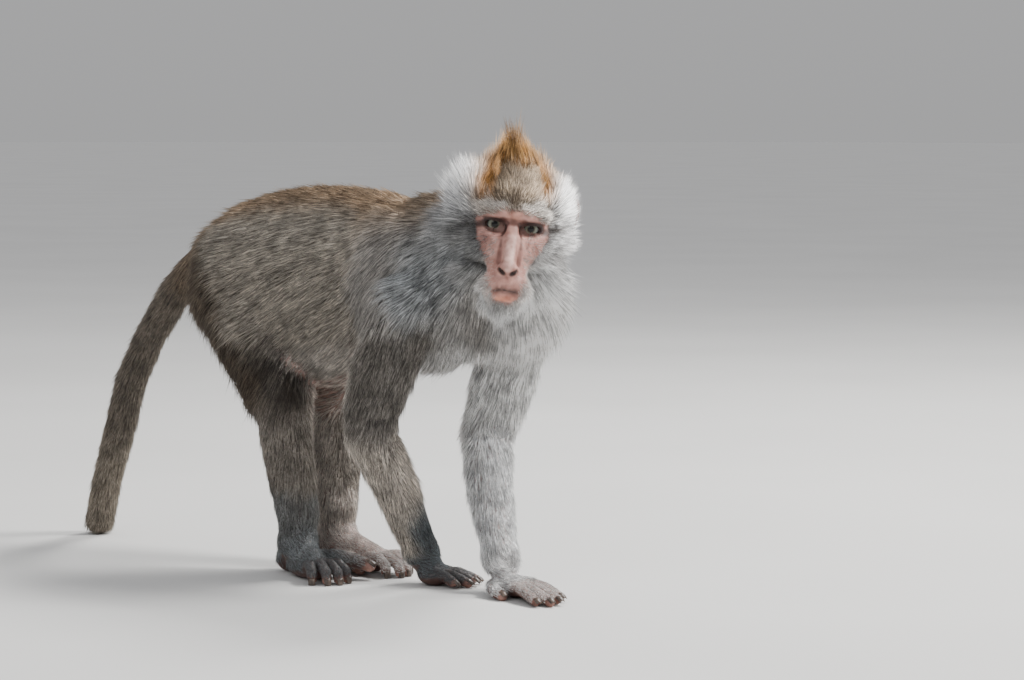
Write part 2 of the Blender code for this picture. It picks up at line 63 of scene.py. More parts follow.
HIP = {"r": (-32, 117, 256), "l": (32, 118, 258)}
KNEE = {"r": (-37, 28, 160), "l": (35, 36, 158)}
ANKLE = {"r": (-30, 33, 30), "l": (25, 38, 30)}
SHOULDER = {"r": (-46, -98, 254), "l": (46, -134, 252)}
ELBOW = {"r": (-43, -63, 142), "l": (40, -113, 141)}
WRIST = {"r": (-4, -87, 29), "l": (3, -168, 31)}
ARM_FORWARD = {"r": 3, "l": 21}
NECK_ROOT = (0, -122, 290)
TAIL = [
    (0, 160, 282),
    (3, 214, 240),
    (7, 248, 203),
    (11, 282, 156),
    (19, 310, 98),
    (27, 334, 56),
    (34, 352, 14),
]
TAIL_RADII = [15, 13.5, 13, 13, 13, 12.5, 12.5]

# The head hangs on the point midway between the eyes; it is nodded, tipped and turned.
EYES_MIDDLE = (-42, -218, 311)
HEAD_TURN = Euler([math.radians(a) for a in (8, 8, -49)], "XYZ")
EYE_OUT = 14.8
EYE_RADIUS = 8.7

HAND_OUT = {"r": -14, "l": -20}
FOOT_OUT = {"r": 22, "l": -9}
HAND_LENGTH = {"r": 48, "l": 88}
FOOT_LENGTH = {"r": 76, "l": 92}
GREAT_TOE = {
    "r": [(-8, 8, 17), (-22, 30, 18), (-32, 46, 16), (-40, 60, 13)],
    "l": [(-8, 22, 13), (-15, 36, 12), (-19, 48, 9.5), (-20, 58, 7)],
}

# The trunk's hide at stations along Y: top, bottom and half width.
TRUNK_Y = (-184, -165, -138, -100, -60, -20, 30, 80, 121, 147, 163, 172)
TRUNK_TOP = (252, 284, 306, 321, 329, 334, 335, 329, 317, 300, 282, 254)
TRUNK_BOTTOM = (240, 216, 200, 190, 183, 171, 164, 171, 191, 213, 231, 244)
TRUNK_HALF = (6, 27, 43, 51, 54, 58, 60, 59, 53, 38, 21, 7)


def smooth_curve(at, xs, ys):
    """A cubic curve through the stations, read at the places given."""
    xs = np.array(xs, float)
    ys = np.array(ys, float)
    slopes = np.gradient(ys, xs)
    at = np.clip(at, xs[0], xs[-1])
    i = np.clip(np.searchsorted(xs, at) - 1, 0, len(xs) - 2)
    width = xs[i + 1] - xs[i]
    t = (at - xs[i]) / width
    start = 2 * t**3 - 3 * t**2 + 1
    rise = t * (1 - t) ** 2 * width * slopes[i] - t**2 * (1 - t) * width * slopes[i + 1]
    return start * ys[i] + (1 - start) * ys[i + 1] + rise


def lengths(rows):
    """How long each row's vector is."""
    return np.linalg.norm(rows, axis=1)


class Clay:
    """Rounded forms that join smoothly, each with the blend it joins by."""

    def __init__(self):
        self.forms = []
        self.seeds = []

    def oval(self, centre, radii, turn=None, blend=8, cut=False):
        """An ellipsoid, added or cut away."""
        centre = np.array(centre, float)
        radii = np.array(radii, float)
        turn = np.array(turn.to_matrix()) if turn else np.eye(3)

        def distance(p):
            local = (p - centre) @ turn
            near = lengths(local / radii) + 1e-9
            steep = lengths(local / radii**2) + 1e-9
            return near * (near - 1) / steep

        self.forms.append((distance, centre, radii.max(), blend, cut))
        if not cut:
            self.seeds.append((centre, radii * SEED, turn))

    def bars(self, lines, blend=8, cut=False, seed=SEED):
        """Rows of round bars, each of points and radii. The rows crease where they meet."""
        lines = [([np.array(p, float) for p in points], radii) for points, radii in lines]

        def distance(p):
            best = np.full(len(p), 1e3)
            for points, radii in lines:
                for i in range(len(points) - 1):
                    along = points[i + 1] - points[i]
                    t = np.clip((p - points[i]) @ along / (along @ along), 0, 1)
                    away = lengths(p - points[i] - t[:, None] * along)
                    best = np.minimum(best, away - radii[i] - (radii[i + 1] - radii[i]) * t)
            return best

        ends = [p for points, _ in lines for p in points]
        middle = sum(ends) / len(ends)
        reach = max(np.linalg.norm(p - middle) for p in ends) + max(max(r) for _, r in lines)
        self.forms.append((distance, middle, reach, blend, cut))
        if cut:
            return
        for points, radii in lines:
            for i in range(len(points) - 1):
                length = np.linalg.norm(points[i + 1] - points[i])
                steps = max(2, math.ceil(length / (0.6 * seed * min(radii[i], radii[i + 1]))))
                for t in np.linspace(0, 1, steps + 1):
                    radius = (radii[i] + (radii[i + 1] - radii[i]) * t) * seed
                    centre = points[i] + (points[i + 1] - points[i]) * t
                    self.seeds.append((centre, np.full(3, radius), np.eye(3)))

    def trunk(self):
        """An oval tube whose top, bottom and width follow the trunk's stations."""

        def distance(p):
            top = smooth_curve(p[:, 1], TRUNK_Y, TRUNK_TOP)
            bottom = smooth_curve(p[:, 1], TRUNK_Y, TRUNK_BOTTOM)
            half = smooth_curve(p[:, 1], TRUNK_Y, TRUNK_HALF)
            tall = (top - bottom) / 2
            across = np.hypot(p[:, 0] / half, (p[:, 2] - (top + bottom) / 2) / tall)
            beyond = np.maximum(TRUNK_Y[0] - p[:, 1], p[:, 1] - TRUNK_Y[-1])
            return np.maximum((across - 1) * np.minimum(tall, half), beyond)

        middle = (TRUNK_Y[0] + TRUNK_Y[-1]) / 2
        self.forms.append((distance, np.array((0, middle, 255)), 240, 14, False))
        for y in range(TRUNK_Y[0] + 12, TRUNK_Y[-1] - 8, 8):
            rows = (TRUNK_TOP, TRUNK_BOTTOM, TRUNK_HALF)
            top, bottom, half = (float(smooth_curve(y, TRUNK_Y, row)) for row in rows)
            tall = (top - bottom) / 2
            radii = np.array((half, 0.5 * min(half, tall), tall)) * SEED
            self.seeds.append((np.array((0, y, (top + bottom) / 2)), radii, np.eye(3)))

    def distance(self, p, forms):
        """Distance from the smooth union of the forms, in millimetres."""
        total = np.full(len(p), 60.0)
        for form, _, _, blend, cut in forms:
            sign = -1 if cut else 1
            new = sign * form(p)
            mix = np.clip(0.5 + sign * (total - new) / (2 * blend), 0, 1)
            total = total * (1 - mix) + new * mix - sign * blend * mix * (1 - mix)
        return total

    def settle(self, mesh, rounds):
        """Moves a mesh's points onto the surface of the forms, one block of space at a time."""
        points = places(mesh) / MM
        blocks, block_of = np.unique(np.floor(points / BLOCK), axis=0, return_inverse=True)
        block_of = block_of.ravel()
        order = np.argsort(block_of, kind="stable")
        ends = np.cumsum(np.bincount(block_of))
        for block, members in zip(blocks, np.split(order, ends[:-1])):
            middle = (block + 0.5) * BLOCK
            near = [f for f in self.forms if np.linalg.norm(f[1] - middle) < f[2] + 1.6 * BLOCK]
            p = points[members]
            for _ in range(rounds if near else 0):
                here = self.distance(p, near)
                probes = (p[None] + PROBE * np.eye(3)[:, None]).reshape(-1, 3)
                slope = (self.distance(probes, near).reshape(3, -1) - here).T / PROBE
                move = slope * (here / np.maximum((slope**2).sum(1), 0.25))[:, None]
                length = np.linalg.norm(move, axis=1, keepdims=True)
                p -= move * np.minimum(1, STRIDE / np.maximum(length, 1e-9))
            points[members] = p
        mesh.vertices.foreach_set("co", (points * MM).ravel())
        mesh.update()

    def mesh(self, name, voxel):
        """The seeds as one voxel mesh, evened out and settled on the forms."""
        bm = bmesh.new()
        bmesh.ops.create_icosphere(bm, subdivisions=2, radius=1)
        ball = np.array([v.co for v in bm.verts])
        faces = np.array([[v.index for v in f.verts] for f in bm.faces])
        bm.free()
        points = [centre + (ball * radii) @ turn.T for centre, radii, turn in self.seeds]
        shells = [faces + i * len(ball) for i in range(len(points))]
        shape = new_shape(name, np.concatenate(points) * MM, np.concatenate(shells).tolist())
        remesh = shape.modifiers.new("voxels", "REMESH")
        remesh.mode = "VOXEL"
        remesh.voxel_size = voxel * MM
        bake(shape)
        self.settle(shape.data, 3)
        even = shape.modifiers.new("even", "SMOOTH")
        even.iterations = 2
        even.factor = 0.5
        bake(shape)
        return shape


def new_shape(name, points, faces):
    """An object of the points and faces given."""
    mesh = bpy.data.meshes.new(name)
    mesh.from_pydata(points, [], faces)
    shape = bpy.data.objects.new(name, mesh)
    bpy.context.collection.objects.link(shape)
    return shape


def read(items, field, width=1, kind=float):
    """A value, or a row of values, from each item."""
    values = np.empty(len(items) * width, kind)
    items.foreach_get(field, values)
    return values.reshape(-1, width) if width > 1 else values


def places(mesh):
    """The mesh's points, one row each."""
    return read(mesh.vertices, "co", 3)


def bake(shape):
    """Turns the object's modifiers into its mesh."""
    bpy.context.view_layer.update()
    graph = bpy.context.evaluated_depsgraph_get()
    mesh = bpy.data.meshes.new_from_object(shape.evaluated_get(graph))
    shape.modifiers.clear()
    shape.data = mesh


def head_point(x, y, z):
    """A place on the head, from left, back and up of the point between the eyes."""
    return Vector(EYES_MIDDLE) + HEAD_TURN.to_matrix() @ Vector((x, y, z))


def ground_frame(side, joint, degrees_out):
    """Reads places on a hand or foot: outwards, forwards along it, and up from the ground."""
    s = SIDES[side]
    turn = Euler((0, 0, s * math.radians(degrees_out))).to_matrix()
    return lambda x, y, z: Vector((joint.x, joint.y, 0)) + turn @ Vector((x * s, -y, z))


def beside(joint, s, x, y, z):
    """A place outwards, back and up of a joint."""
    return joint + Vector((x * s, y, z))


def add_legs(clay):
    """Haunch, thigh, calf and ankle."""
    for side, s in SIDES.items():
        hip, knee, ankle = (Vector(joint[side]) for joint in (HIP, KNEE, ANKLE))
        clay.oval(beside(hip, s, -6, -8, 0), (30, 43, 43), Euler((0.5, 0, 0)), 16)
        thigh = [beside(hip, s, -2, -14, -16), beside(knee, s, 0, 26, 8)]
        front = [beside(hip, s, 2, -40, -30), beside(knee, s, 0, 18, 4)]
        calf = [beside(knee, s, 0, 16, -6), beside(knee, s, 0, 10, -50), beside(ankle, s, 0, 0, 24)]
        clay.bars([(thigh, [37, 26])], 14)
        clay.bars([(front, [28, 23])], 14)
        clay.bars([([*calf, ankle], [23.5, 21, 18, 14.5])], 10)


def add_arms(clay):
    """Shoulder, upper arm and forearm."""
    for side, s in SIDES.items():
        shoulder, elbow, wrist = (Vector(joint[side]) for joint in (SHOULDER, ELBOW, WRIST))
        clay.oval(beside(shoulder, s, -10, 10, 8), (28, 39, 55), Euler((-0.3, 0, 0)), 16)
        front = Vector((0, -ARM_FORWARD[side], 0))
        upper = [beside(shoulder, s, -3, -6, -10), shoulder.lerp(elbow, 0.6)]
        upper = [p + front for p in (*upper, beside(elbow, s, 0, 0, 12))]
        lower = [beside(elbow, s, 0, 0, -12) + front * 0.5]
        lower += [wrist.lerp(elbow, 0.5), wrist.lerp(elbow, 0.16), wrist]
        clay.bars([([*upper, *lower], [28, 26, 22.5, 20.5, 18, 15, 13])], 12)


# How a digit tapers from its root to its tip, plain or with a knuckle. Tips keeps each
# digit's last joint, its end and its radius there.
TAPER = (1.1, 1.0, 0.98, 0.86)
KNUCKLE = (1.1, 0.98, 1.08, 0.98, 0.86)
tips = []


def add_digits(clay, place, root, reaches, bends, shift, radius):
    """Four fingers or toes that fan out, crease against each other and blend into the palm."""
    rows = []
    for i, reach in enumerate(reaches):
        bones = [(x * (i - 1.5) + shift, root + (reach - root) * part, z) for x, part, z in bends]
        rows.append([place(*bone) for bone in bones])
    tips.extend((row[-2], row[-1], radius * TAPER[-1]) for row in rows)
    clay.bars([(row, [radius * f for f in TAPER]) for row in rows], 3, seed=0.62)


def add_thumb(clay, row, radius):
    """A thumb or great toe, with its knuckle."""
    tips.append((row[-2], row[-1], radius * TAPER[-1]))
    bent = [row[0], row[1].lerp(row[0], 0.25), *row[1:]]
    clay.bars([(bent, [radius * f for f in KNUCKLE])], 3)


def add_hand(clay, side):
    """The palm, four fingers that fan out, and the thumb on the inner side."""
    wrist = Vector(WRIST[side])
    place = ground_frame(side, wrist, HAND_OUT[side])
    turn = Euler((0, 0, SIDES[side] * math.radians(HAND_OUT[side])))
    length = HAND_LENGTH[side]
    clay.bars([([wrist, place(0, 8, 15)], [13, 10.5])], 8)
    clay.oval(place(0, 0.28 * length, 9.5), (16.5, 0.29 * length, 8.8), turn, 6)
    reaches = [share * length for share in (0.95, 1.0, 0.97, 0.82)]
    bends = [(6.5, 0, 11), (8, 0.35, 11), (9.2, 0.75, 7.6), (10, 1, 5)]
    add_digits(clay, place, 0.42 * length, reaches, bends, 0, 4.6)
    thumb = [(-13, 0.12, 9), (-20, 0.26, 8), (-22, 0.36, 6.5), (-22, 0.46, 5)]
    add_thumb(clay, [place(x, part * length, z) for x, part, z in thumb], 4.9)


def add_foot(clay, side):
    """The sole from heel to ball, four curled toes, and the great toe beside them."""
    ankle = Vector(ANKLE[side])
    place = ground_frame(side, ankle, FOOT_OUT[side])
    turn = Euler((0, 0, SIDES[side] * math.radians(FOOT_OUT[side])))
    length = FOOT_LENGTH[side]
    ball = 0.58 * length
    clay.bars([([ankle, place(0, -18, 12.5)], [13.5, 11.2])], 8)
    clay.bars([([ankle, place(1, 0.25 * length, 20), place(2, ball, 14)], [13.5, 12.5, 10])], 8)
    clay.oval(place(1, 0.3 * length, 9.6), (14, 0.41 * length, 9), turn, 6)
    reaches = [share * length for share in (0.93, 1.0, 0.97, 0.86)]
    bends = [(6.5, 0, 14.5), (8.4, 0.55, 17), (9.6, 0.92, 12), (10.2, 1, 5)]
    add_digits(clay, place, ball, reaches, bends, 2, 4.8)
    add_thumb(clay, [place(*p) for p in GREAT_TOE[side]], 6.2)


def add_head(clay):
    """Skull and cheeks, muzzle, nose and brow, then eyes, nostrils and lips."""

    def oval(x, y, z, radii, blend=8, cut=False):
        clay.oval(head_point(x, y, z), radii, HEAD_TURN, blend, cut)

    def bar(points, radii, blend=6, cut=False):
        clay.bars([([head_point(*p) for p in points], radii)], blend, cut)

    oval(0, 40, 13, (36, 45, 36), 10)
    oval(0, 13, 13, (31, 20, 20), 8)
    for s in SIDES.values():
        oval(28 * s, 32, 4, (14, 26, 26), 8)
        bar([(25 * s, 3, -9), (36 * s, 28, -12)], [8, 10], 8)
        oval(25 * s, 28, -28, (14, 22, 26), 8)
        oval(16 * s, -2, -17, (13, 11.5, 14), 6)
    bar([(0, -2, -16), (0, -22, -42)], [20, 14.5], 8)
    bar([(-6.5, -26, -45), (6.5, -26, -45)], [12.6, 12.6], 5)
    bar([(0, -22, -57), (0, 20, -52)], [10.5, 20], 8)
    bar([(0, -9, 2), (0, -22, -15), (0, -33.5, -29)], [4.6, 5.2, 5.6], 4)
    bar([(-4.6, -33, -31), (4.6, -33, -31)], [4.4, 4.4], 2.5)
    bar([(-23, -3, 9), (-10, -8, 10.5), (10, -8, 10.5), (23, -3, 9)], [6.2, 7, 7, 6.2], 4)
    for s in SIDES.values():
        eye = EYE_OUT * s
        oval(eye, -14, -2, (9.6, 8, 6.6), 2.5, cut=True)
        oval(eye, 0, 0, (10.6, 10.3, 10.2), 2)
        bar([(eye - 6, -8.52, -7.28), (eye, -9.6, -8), (eye + 6, -8.52, -7.28)], [1.6, 2, 1.6], 2)
        bar([(eye - 6, -7.52, 6.28), (eye, -8.6, 7), (eye + 6, -7.52, 6.28)], [1.2, 1.4, 1.2], 1.5)
        slant = (HEAD_TURN.to_matrix() @ Euler((0, -0.10 * s, 0)).to_matrix()).to_euler()
        clay.oval(head_point(eye + 0.3 * s, -9, -1.0), (9.2, 6.4, 4.2), slant, 0.7, True)
        nostril = [(2.0 * s, -39.2, -34.6), (4.0 * s, -38, -32.6), (6.2 * s, -34.5, -30.6)]
        bar(nostril, [1.3, 1.7, 1.0], 0.8, cut=True)
    bar([(0, -38, -37), (0, -41, -44)], [0.9, 0.7], 1.5, cut=True)
    mouth = [(-13, -35, -49.5), (-7, -37.6, -48.4), (0, -38.4, -48), (7, -37.6, -48.4), (13, -35, -49.5)]
    bar([(x * 0.8, y + 2.2, z - 4.4) for x, y, z in mouth[1:-1]], [2.8, 3.4, 2.8], 2.5)
    bar(mouth, [0.7, 1.3, 1.5, 1.3, 0.7], 0.7, cut=True)


def in_head(points):
    """Bench places read from the head: left, back and up of the point between the eyes."""
    return (points - np.array(EYES_MIDDLE)) @ np.array(HEAD_TURN.to_matrix())


def refine(mesh, chosen):
    """Halves the edges between the chosen points."""
    bm = bmesh.new()
    bm.from_mesh(mesh)
    bm.verts.ensure_lookup_table()
    edges = [e for e in bm.edges if chosen[e.verts[0].index] and chosen[e.verts[1].index]]
    bmesh.ops.subdivide_edges(bm, edges=edges, cuts=1, use_grid_fill=True)
    bmesh.ops.triangulate(bm, faces=[f for f in bm.faces if len(f.verts) > 4])
    bm.to_mesh(mesh)
    bm.free()


def near_face(points, reach):
    """True for points on the front of the face."""
    local = in_head(points)
    across = (local - (0, -14, -20)) / (34, 26, 36)
    return (lengths(across) < reach) & (local[:, 1] < 8)


def on_paws(points):
    """True for points on the hands and feet."""
    ends = np.array([joint[side] for side in SIDES for joint in (WRIST, ANKLE)], float)
    away = np.linalg.norm(points[:, None, :2] - ends[None, :, :2], axis=2).min(1)
    return (points[:, 2] < 24) & (away < 112)


clay = Clay()
clay.trunk()
add_legs(clay)
add_arms(clay)
clay.bars([([NECK_ROOT, head_point(0, 50, -12)], [42, 34])], 20)
clay.bars([([(4, -156, 258), head_point(0, 22, -44)], [36, 22])], 20)
clay.oval((20, -166, 240), (42, 34, 42), None, 18)
clay.bars([(TAIL, TAIL_RADII)], 8)
for side in SIDES:
    add_hand(clay, side)
    add_foot(clay, side)
add_head(clay)
skin = clay.mesh("skin", VOXEL)
points = places(skin.data) / MM
refine(skin.data, near_face(points, 1.1) | on_paws(points))
refine(skin.data, near_face(places(skin.data) / MM, 1.0))
clay.settle(skin.data, 4)
points = places(skin.data) / MM
points[:, 2] = np.maximum(points[:, 2], FLOOR)
skin.data.vertices.foreach_set("co", (points * MM).ravel())
skin.data.update()

# ---------------------------------------------------------------- Lie and colours of the coat
# Hair grows back from the face, down the limbs and along the tail. Each zone below has its
# own length, lift, thickness and colours, and neighbouring zones fade into each other.
# Skin and hair both take their colours from here, real markings and painted shade alike.


def srgb(*parts):
    """A paint colour, of three parts up to 255, as linear light."""
    return tuple(v / 255 / 12.92 if v < 11 else ((v / 255 + 0.055) / 1.055) ** 2.4 for v in parts)


# Hair length, lift in degrees, thickness, cover, colour at the root, at the tip, of the skin.
LENGTH, LIFT, THICK, COVER, ROOT, TIP, UNDER = range(7)
# The right side's coats (hand_r, foot_r, digit_r, cheek_r, arm_dark, shoulder, slate) are darker than their
# twins on the left: partly the animal's own darker hair and skin, partly painted shade of its right side.
COATS = {
    "back": (24, 15, 0.56, 1, (84, 70, 58), (200, 172, 142), (68, 57, 48)),
    "flank": (24, 15, 0.56, 1, (82, 75, 69), (210, 201, 188), (70, 63, 58)),
    "pale": (20, 15, 0.6, 0.9, (140, 132, 126), (222, 214, 204), (136, 116, 108)),
    "belly": (13, 14, 0.5, 0.4, (150, 138, 130), (212, 200, 190), (152, 126, 116)),
    "chest": (26, 28, 0.6, 1, (160, 157, 155), (255, 254, 253), (150, 141, 137)),
    "rump": (16, 12, 0.6, 1, (56, 48, 42), (142, 126, 108), (50, 42, 37)),
    "mantle": (27, 19, 0.58, 1, (52, 54, 57), (202, 205, 207), (54, 55, 57)),
    "nape": (25, 16, 0.6, 1, (86, 76, 68), (184, 164, 142), (70, 62, 56)),
    "shoulder": (24, 16, 0.6, 1, (66, 65, 65), (188, 183, 178), (58, 56, 55)),
    "arm_dark": (18, 15, 0.56, 1, (44, 42, 41), (148, 142, 135), (44, 42, 41)),
    "arm_pale": (20, 18, 0.58, 1, (160, 158, 157), (255, 255, 254), (138, 132, 129)),
    "arm_brown": (14, 18, 0.55, 1, (86, 77, 70), (232, 222, 210), (72, 64, 60)),
    "slate": (8, 12, 0.46, 1, (50, 54, 57), (112, 120, 123), (54, 56, 58)),
    "silver": (14, 19, 0.5, 1, (176, 178, 181), (255, 255, 255), (160, 158, 158)),
    "silver_low": (9, 12, 0.46, 1, (182, 183, 185), (255, 255, 255), (164, 161, 160)),
    "hand_r": (5, 14, 0.4, 0.95, (46, 51, 55), (138, 147, 152), (64, 64, 66)),
    "hand_l": (9, 15, 0.42, 1, (196, 196, 198), (252, 251, 250), (168, 162, 160)),
    "foot_r": (5.5, 14, 0.4, 0.95, (56, 60, 63), (168, 174, 176), (74, 75, 76)),
    "foot_l": (5, 14, 0.4, 0.9, (150, 141, 137), (224, 215, 209), (168, 148, 140)),
    "digit_r": (2.6, 16, 0.3, 0.8, (52, 54, 57), (110, 115, 118), (72, 69, 69)),
    "digit_l": (3.4, 16, 0.32, 0.95, (160, 157, 156), (238, 236, 234), (156, 142, 136)),
    "haunch": (24, 14, 0.58, 1, (36, 31, 28), (112, 100, 87), (34, 30, 27)),
    "thigh_dark": (20, 14, 0.58, 1, (26, 23, 21), (76, 68, 60), (26, 22, 20)),
    "rufous": (20, 16, 0.58, 1, (66, 50, 40), (140, 114, 94), (52, 40, 34)),
    "shank": (13, 14, 0.52, 1, (76, 71, 65), (180, 171, 161), (68, 62, 58)),
    "shank_pale": (13, 14, 0.52, 1, (136, 128, 122), (220, 211, 202), (118, 108, 102)),
    "tail_top": (14, 18, 0.46, 1, (64, 58, 52), (146, 136, 124), (58, 52, 48)),
    "tail_end": (13, 18, 0.46, 1, (88, 80, 71), (176, 165, 150), (80, 72, 65)),
    "gold": (18, 30, 0.42, 1, (80, 54, 30), (192, 140, 78), (80, 58, 40)),
    "gold_long": (25, 40, 0.42, 1, (92, 64, 36), (198, 150, 90), (80, 60, 42)),
    "crest": (38, 80, 0.42, 1, (184, 130, 68), (82, 66, 54), (90, 66, 46)),
    "forehead": (11, 22, 0.38, 1, (48, 40, 33), (184, 165, 142), (92, 75, 63)),
    "forehead_dark": (11, 22, 0.38, 1, (62, 54, 48), (150, 134, 116), (92, 76, 66)),
    "brow": (8, 20, 0.36, 1, (116, 106, 99), (238, 232, 224), (150, 122, 110)),
    "temple_r": (29, 48, 0.44, 1, (108, 108, 111), (255, 255, 255), (108, 104, 103)),
    "temple_l": (20, 36, 0.44, 1, (118, 118, 120), (255, 255, 255), (118, 113, 112)),
    "cheek": (19, 30, 0.44, 1, (112, 109, 107), (255, 254, 254), (108, 102, 99)),
    "cheek_r": (26, 34, 0.44, 1, (36, 33, 32), (196, 195, 194), (50, 45, 43)),
    "shank_low": (9, 13, 0.48, 1, (78, 78, 77), (166, 167, 165), (76, 75, 74)),
    "ruff": (32, 46, 0.46, 1, (160, 158, 157), (255, 255, 255), (150, 142, 138)),
    "cheek_back": (27, 40, 0.46, 1, (98, 98, 100), (220, 220, 221), (90, 86, 84)),
    "cheek_dark": (12, 20, 0.42, 1, (32, 29, 28), (104, 97, 93), (44, 38, 36)),
    "beard": (23, 32, 0.42, 1, (158, 155, 153), (255, 255, 255), (150, 136, 131)),
    "muzzle": (6, 22, 0.3, 0.5, (176, 160, 152), (246, 240, 235), (190, 150, 138)),
}

# One stretch of coat: its piece and kind, the line it follows, how far it reaches, its lie.
Zone = namedtuple("Zone", "group coat start end reach comb away toward")
zones = []


def zone(group, coat, start, end, reach, comb=None, away=None, toward=None):
    """A stretch of coat round a line, combed one way, away from a point or up to one."""
    start, end = np.array(start, float), np.array(end, float)
    zones.append(Zone(group, coat, start, end, reach, comb, away, toward))


def head_zone(group, coat, start, end, reach, comb=None, away=None, toward=None, sides=(1, -1)):
    """A zone read from the head, on both sides of it or on one."""
    for s in sides:
        ends = [head_point(p[0] * s, *p[1:]) for p in (start, end)]
        lie = comb and HEAD_TURN.to_matrix() @ Vector((comb[0] * s, *comb[1:]))
        zone(group, coat, *ends, reach, lie, away and head_point(*away), toward and head_point(*toward))


# Limb coats, each with its place outwards and behind the bone. The arms: outer, inner, front
# and back. The right forearm's rows also say where along the bone they start and end.
# The right arm's darker coats are partly painted shade of the right side.
ARM_COATS = {"r": ("arm_dark", "arm_pale", "arm_dark", "arm_brown"), "l": ("arm_pale",) * 4}
FOREARM = [
    ("arm_brown", 17, 4, 0.15, 0.9),
    ("slate", -16, -4, 0.7, 0.9),
    ("slate", 3, -16, 0.82, 0.9),
    ("arm_brown", 0, 17, 0.15, 0.9),
    ("arm_brown", -8, -18, 0.1, 0.45),
]
THIGH = [("haunch", 32, 2), ("shank_pale", -30, 16), ("thigh_dark", 14, -34), ("rufous", 4, 46)]
SHANK_COATS = {"r": ("shank", "shank_low"), "l": ("shank_pale", "shank_pale")}

zone("back", "back", (0, -70, 325), (0, 140, 305), 40, (0, 1, -0.12))
zone("back", "rump", (0, 166, 285), (0, 172, 250), 24, (0, 0.5, -1))
zone("flanks", "belly", (0, -70, 180), (0, 60, 165), 36, (0, 1, 0))
zone("flanks", "chest", (0, -150, 200), (0, -115, 190), 30, (0, 0.3, -1))
zone("mantle", "nape", (-6, -150, 325), (0, -110, 325), 30, (0.15, 1, -0.25))
zone("mantle", "mantle", (-56, -165, 290), (-60, -125, 268), 30, (-0.1, 0.8, -0.65))
zone("mantle", "mantle", (25, -165, 305), (48, -130, 290), 28, (0.35, 0.8, -0.6))
zone("mantle", "chest", (2, -205, 262), (22, -200, 225), 28, (0.1, 0.15, -1))
zone("mantle", "shoulder", (-36, -190, 262), (-34, -176, 232), 22, (-0.1, 0.25, -1))
zone("mantle", "shoulder", (-56, -100, 280), (-60, -80, 250), 26, (-0.1, 0.55, -0.9))
for side, s in SIDES.items():
    zone("back", "flank", (46 * s, -30, 300), (50 * s, 90, 288), 34, (0.1 * s, 1, -0.4))
    zone("back", "rump", (46 * s, 128, 272), (34 * s, 152, 262), 22, (0.1 * s, 0.8, -0.8))
    zone("flanks", "flank", (58 * s, -30, 250), (58 * s, 50, 235), 34, (0, 0.9, -0.55))
    zone("flanks", "pale", (42 * s, -30, 190), (44 * s, 30, 182), 22, (0, 0.8, -0.6))
    shoulder, elbow, wrist = (Vector(joint[side]) for joint in (SHOULDER, ELBOW, WRIST))
    front = Vector((0, -ARM_FORWARD[side], 0))
    top, bend = shoulder + front, elbow + front * 0.5
    for coat, x, y in zip(ARM_COATS[side], (24, -20, 0, 0), (0, 0, -22, 24)):
        start, end = beside(top, s, x, y, -34), beside(bend, s, x * 0.9, y * 0.9, 15)
        zone("arms", coat, start, end, 18, (0, 0.4, -1))
    if side == "r":
        zone("arms", "shoulder", beside(top, s, 24, 0, 4), beside(top, s, 23, 0, -22), 19, (0, 0.4, -1))
    down = (wrist - elbow).normalized()
    for coat, x, y, *span in FOREARM:
        off = Vector((x * s, y, 0))
        ends = [bend.lerp(wrist, share) + off * (1.05 - 0.3 * share) for share in span]
        coat = coat if side == "r" else "silver"
        zone("arms", coat, *ends, 12, down + off.normalized() * 0.25)
    hip, knee, ankle = (Vector(joint[side]) for joint in (HIP, KNEE, ANKLE))
    zone("legs", "haunch", beside(hip, s, 22, 8, 20), beside(hip, s, 22, -10, -20), 30, (0, 0.5, -0.9))
    zone("legs", "rump", beside(hip, s, 10, 44, 16), beside(hip, s, 6, 40, -30), 20, (0, 0.3, -1))
    for coat, x, y in THIGH:
        start, end = beside(hip, s, x, y - 14, -50), beside(knee, s, x * 0.8, y * 0.8 + 22, 14)
        zone("legs", coat, start, end, 22, (0, 0.35, -1))
    inner, low = SHANK_COATS[side]
    for coat, x, y in (("shank", 20, 8), (inner, -20, 8), ("shank", 0, -14), ("shank", 0, 30)):
        start, end = beside(knee, s, x, y + 6, -30), beside(ankle, s, x * 0.8, y * 0.8, 60)
        zone("legs", coat, start, end, 16, (0, 0.1, -1))
        start, end = (beside(ankle, s, x * f, y * f, z) for f, z in ((0.7, 36), (0.6, 20)))
        zone("legs", low, start, end, 12, (0, 0.05, -1))
    hand, foot, digit = (part + "_" + side for part in ("hand", "foot", "digit"))
    place = ground_frame(side, wrist, HAND_OUT[side])
    ahead = place(0, 1, 0) - place(0, 0, 0)
    length = HAND_LENGTH[side]
    zone("paws", hand, beside(wrist, s, 0, 0, 2), place(0, 0.3 * length, 16), 13, ahead)
    if side == "l":
        start, end = beside(wrist, s, 0, 2, 34), beside(wrist, s, 0, 0, 16)
        zone("arms", "silver_low", start, end, 14, (0, 0, -1))
        start, end = beside(wrist, s, 0, 0, 14), beside(wrist, s, 0, -6, -4)
        zone("paws", hand, start, end, 15, ahead + Vector((0, 0, -1)))
    zone("paws", digit, place(0, 0.62 * length, 8), place(0, 0.95 * length, 6), 16, ahead)
    place = ground_frame(side, ankle, FOOT_OUT[side])
    ahead = place(0, 1, 0) - place(0, 0, 0)
    length = FOOT_LENGTH[side]
    start, end = beside(ankle, s, 0, -4, 4), place(0, 0.5 * length, 20)
    zone("paws", foot, start, end, 13, ahead + Vector((0, 0, -0.3)))
    zone("paws", foot, place(0, -18, 14), place(0, -8, 14), 10, (0, 0.3, -1))
    zone("paws", digit, place(0, 0.75 * length, 14), place(0, 0.98 * length, 8), 14, ahead)
for i in range(len(TAIL) - 1):
    along = Vector(TAIL[i + 1]) - Vector(TAIL[i])
    coat = "tail_end" if i > 3 else "tail_top"
    zone("tail", coat, TAIL[i], TAIL[i + 1], 13 if i else 10, along)

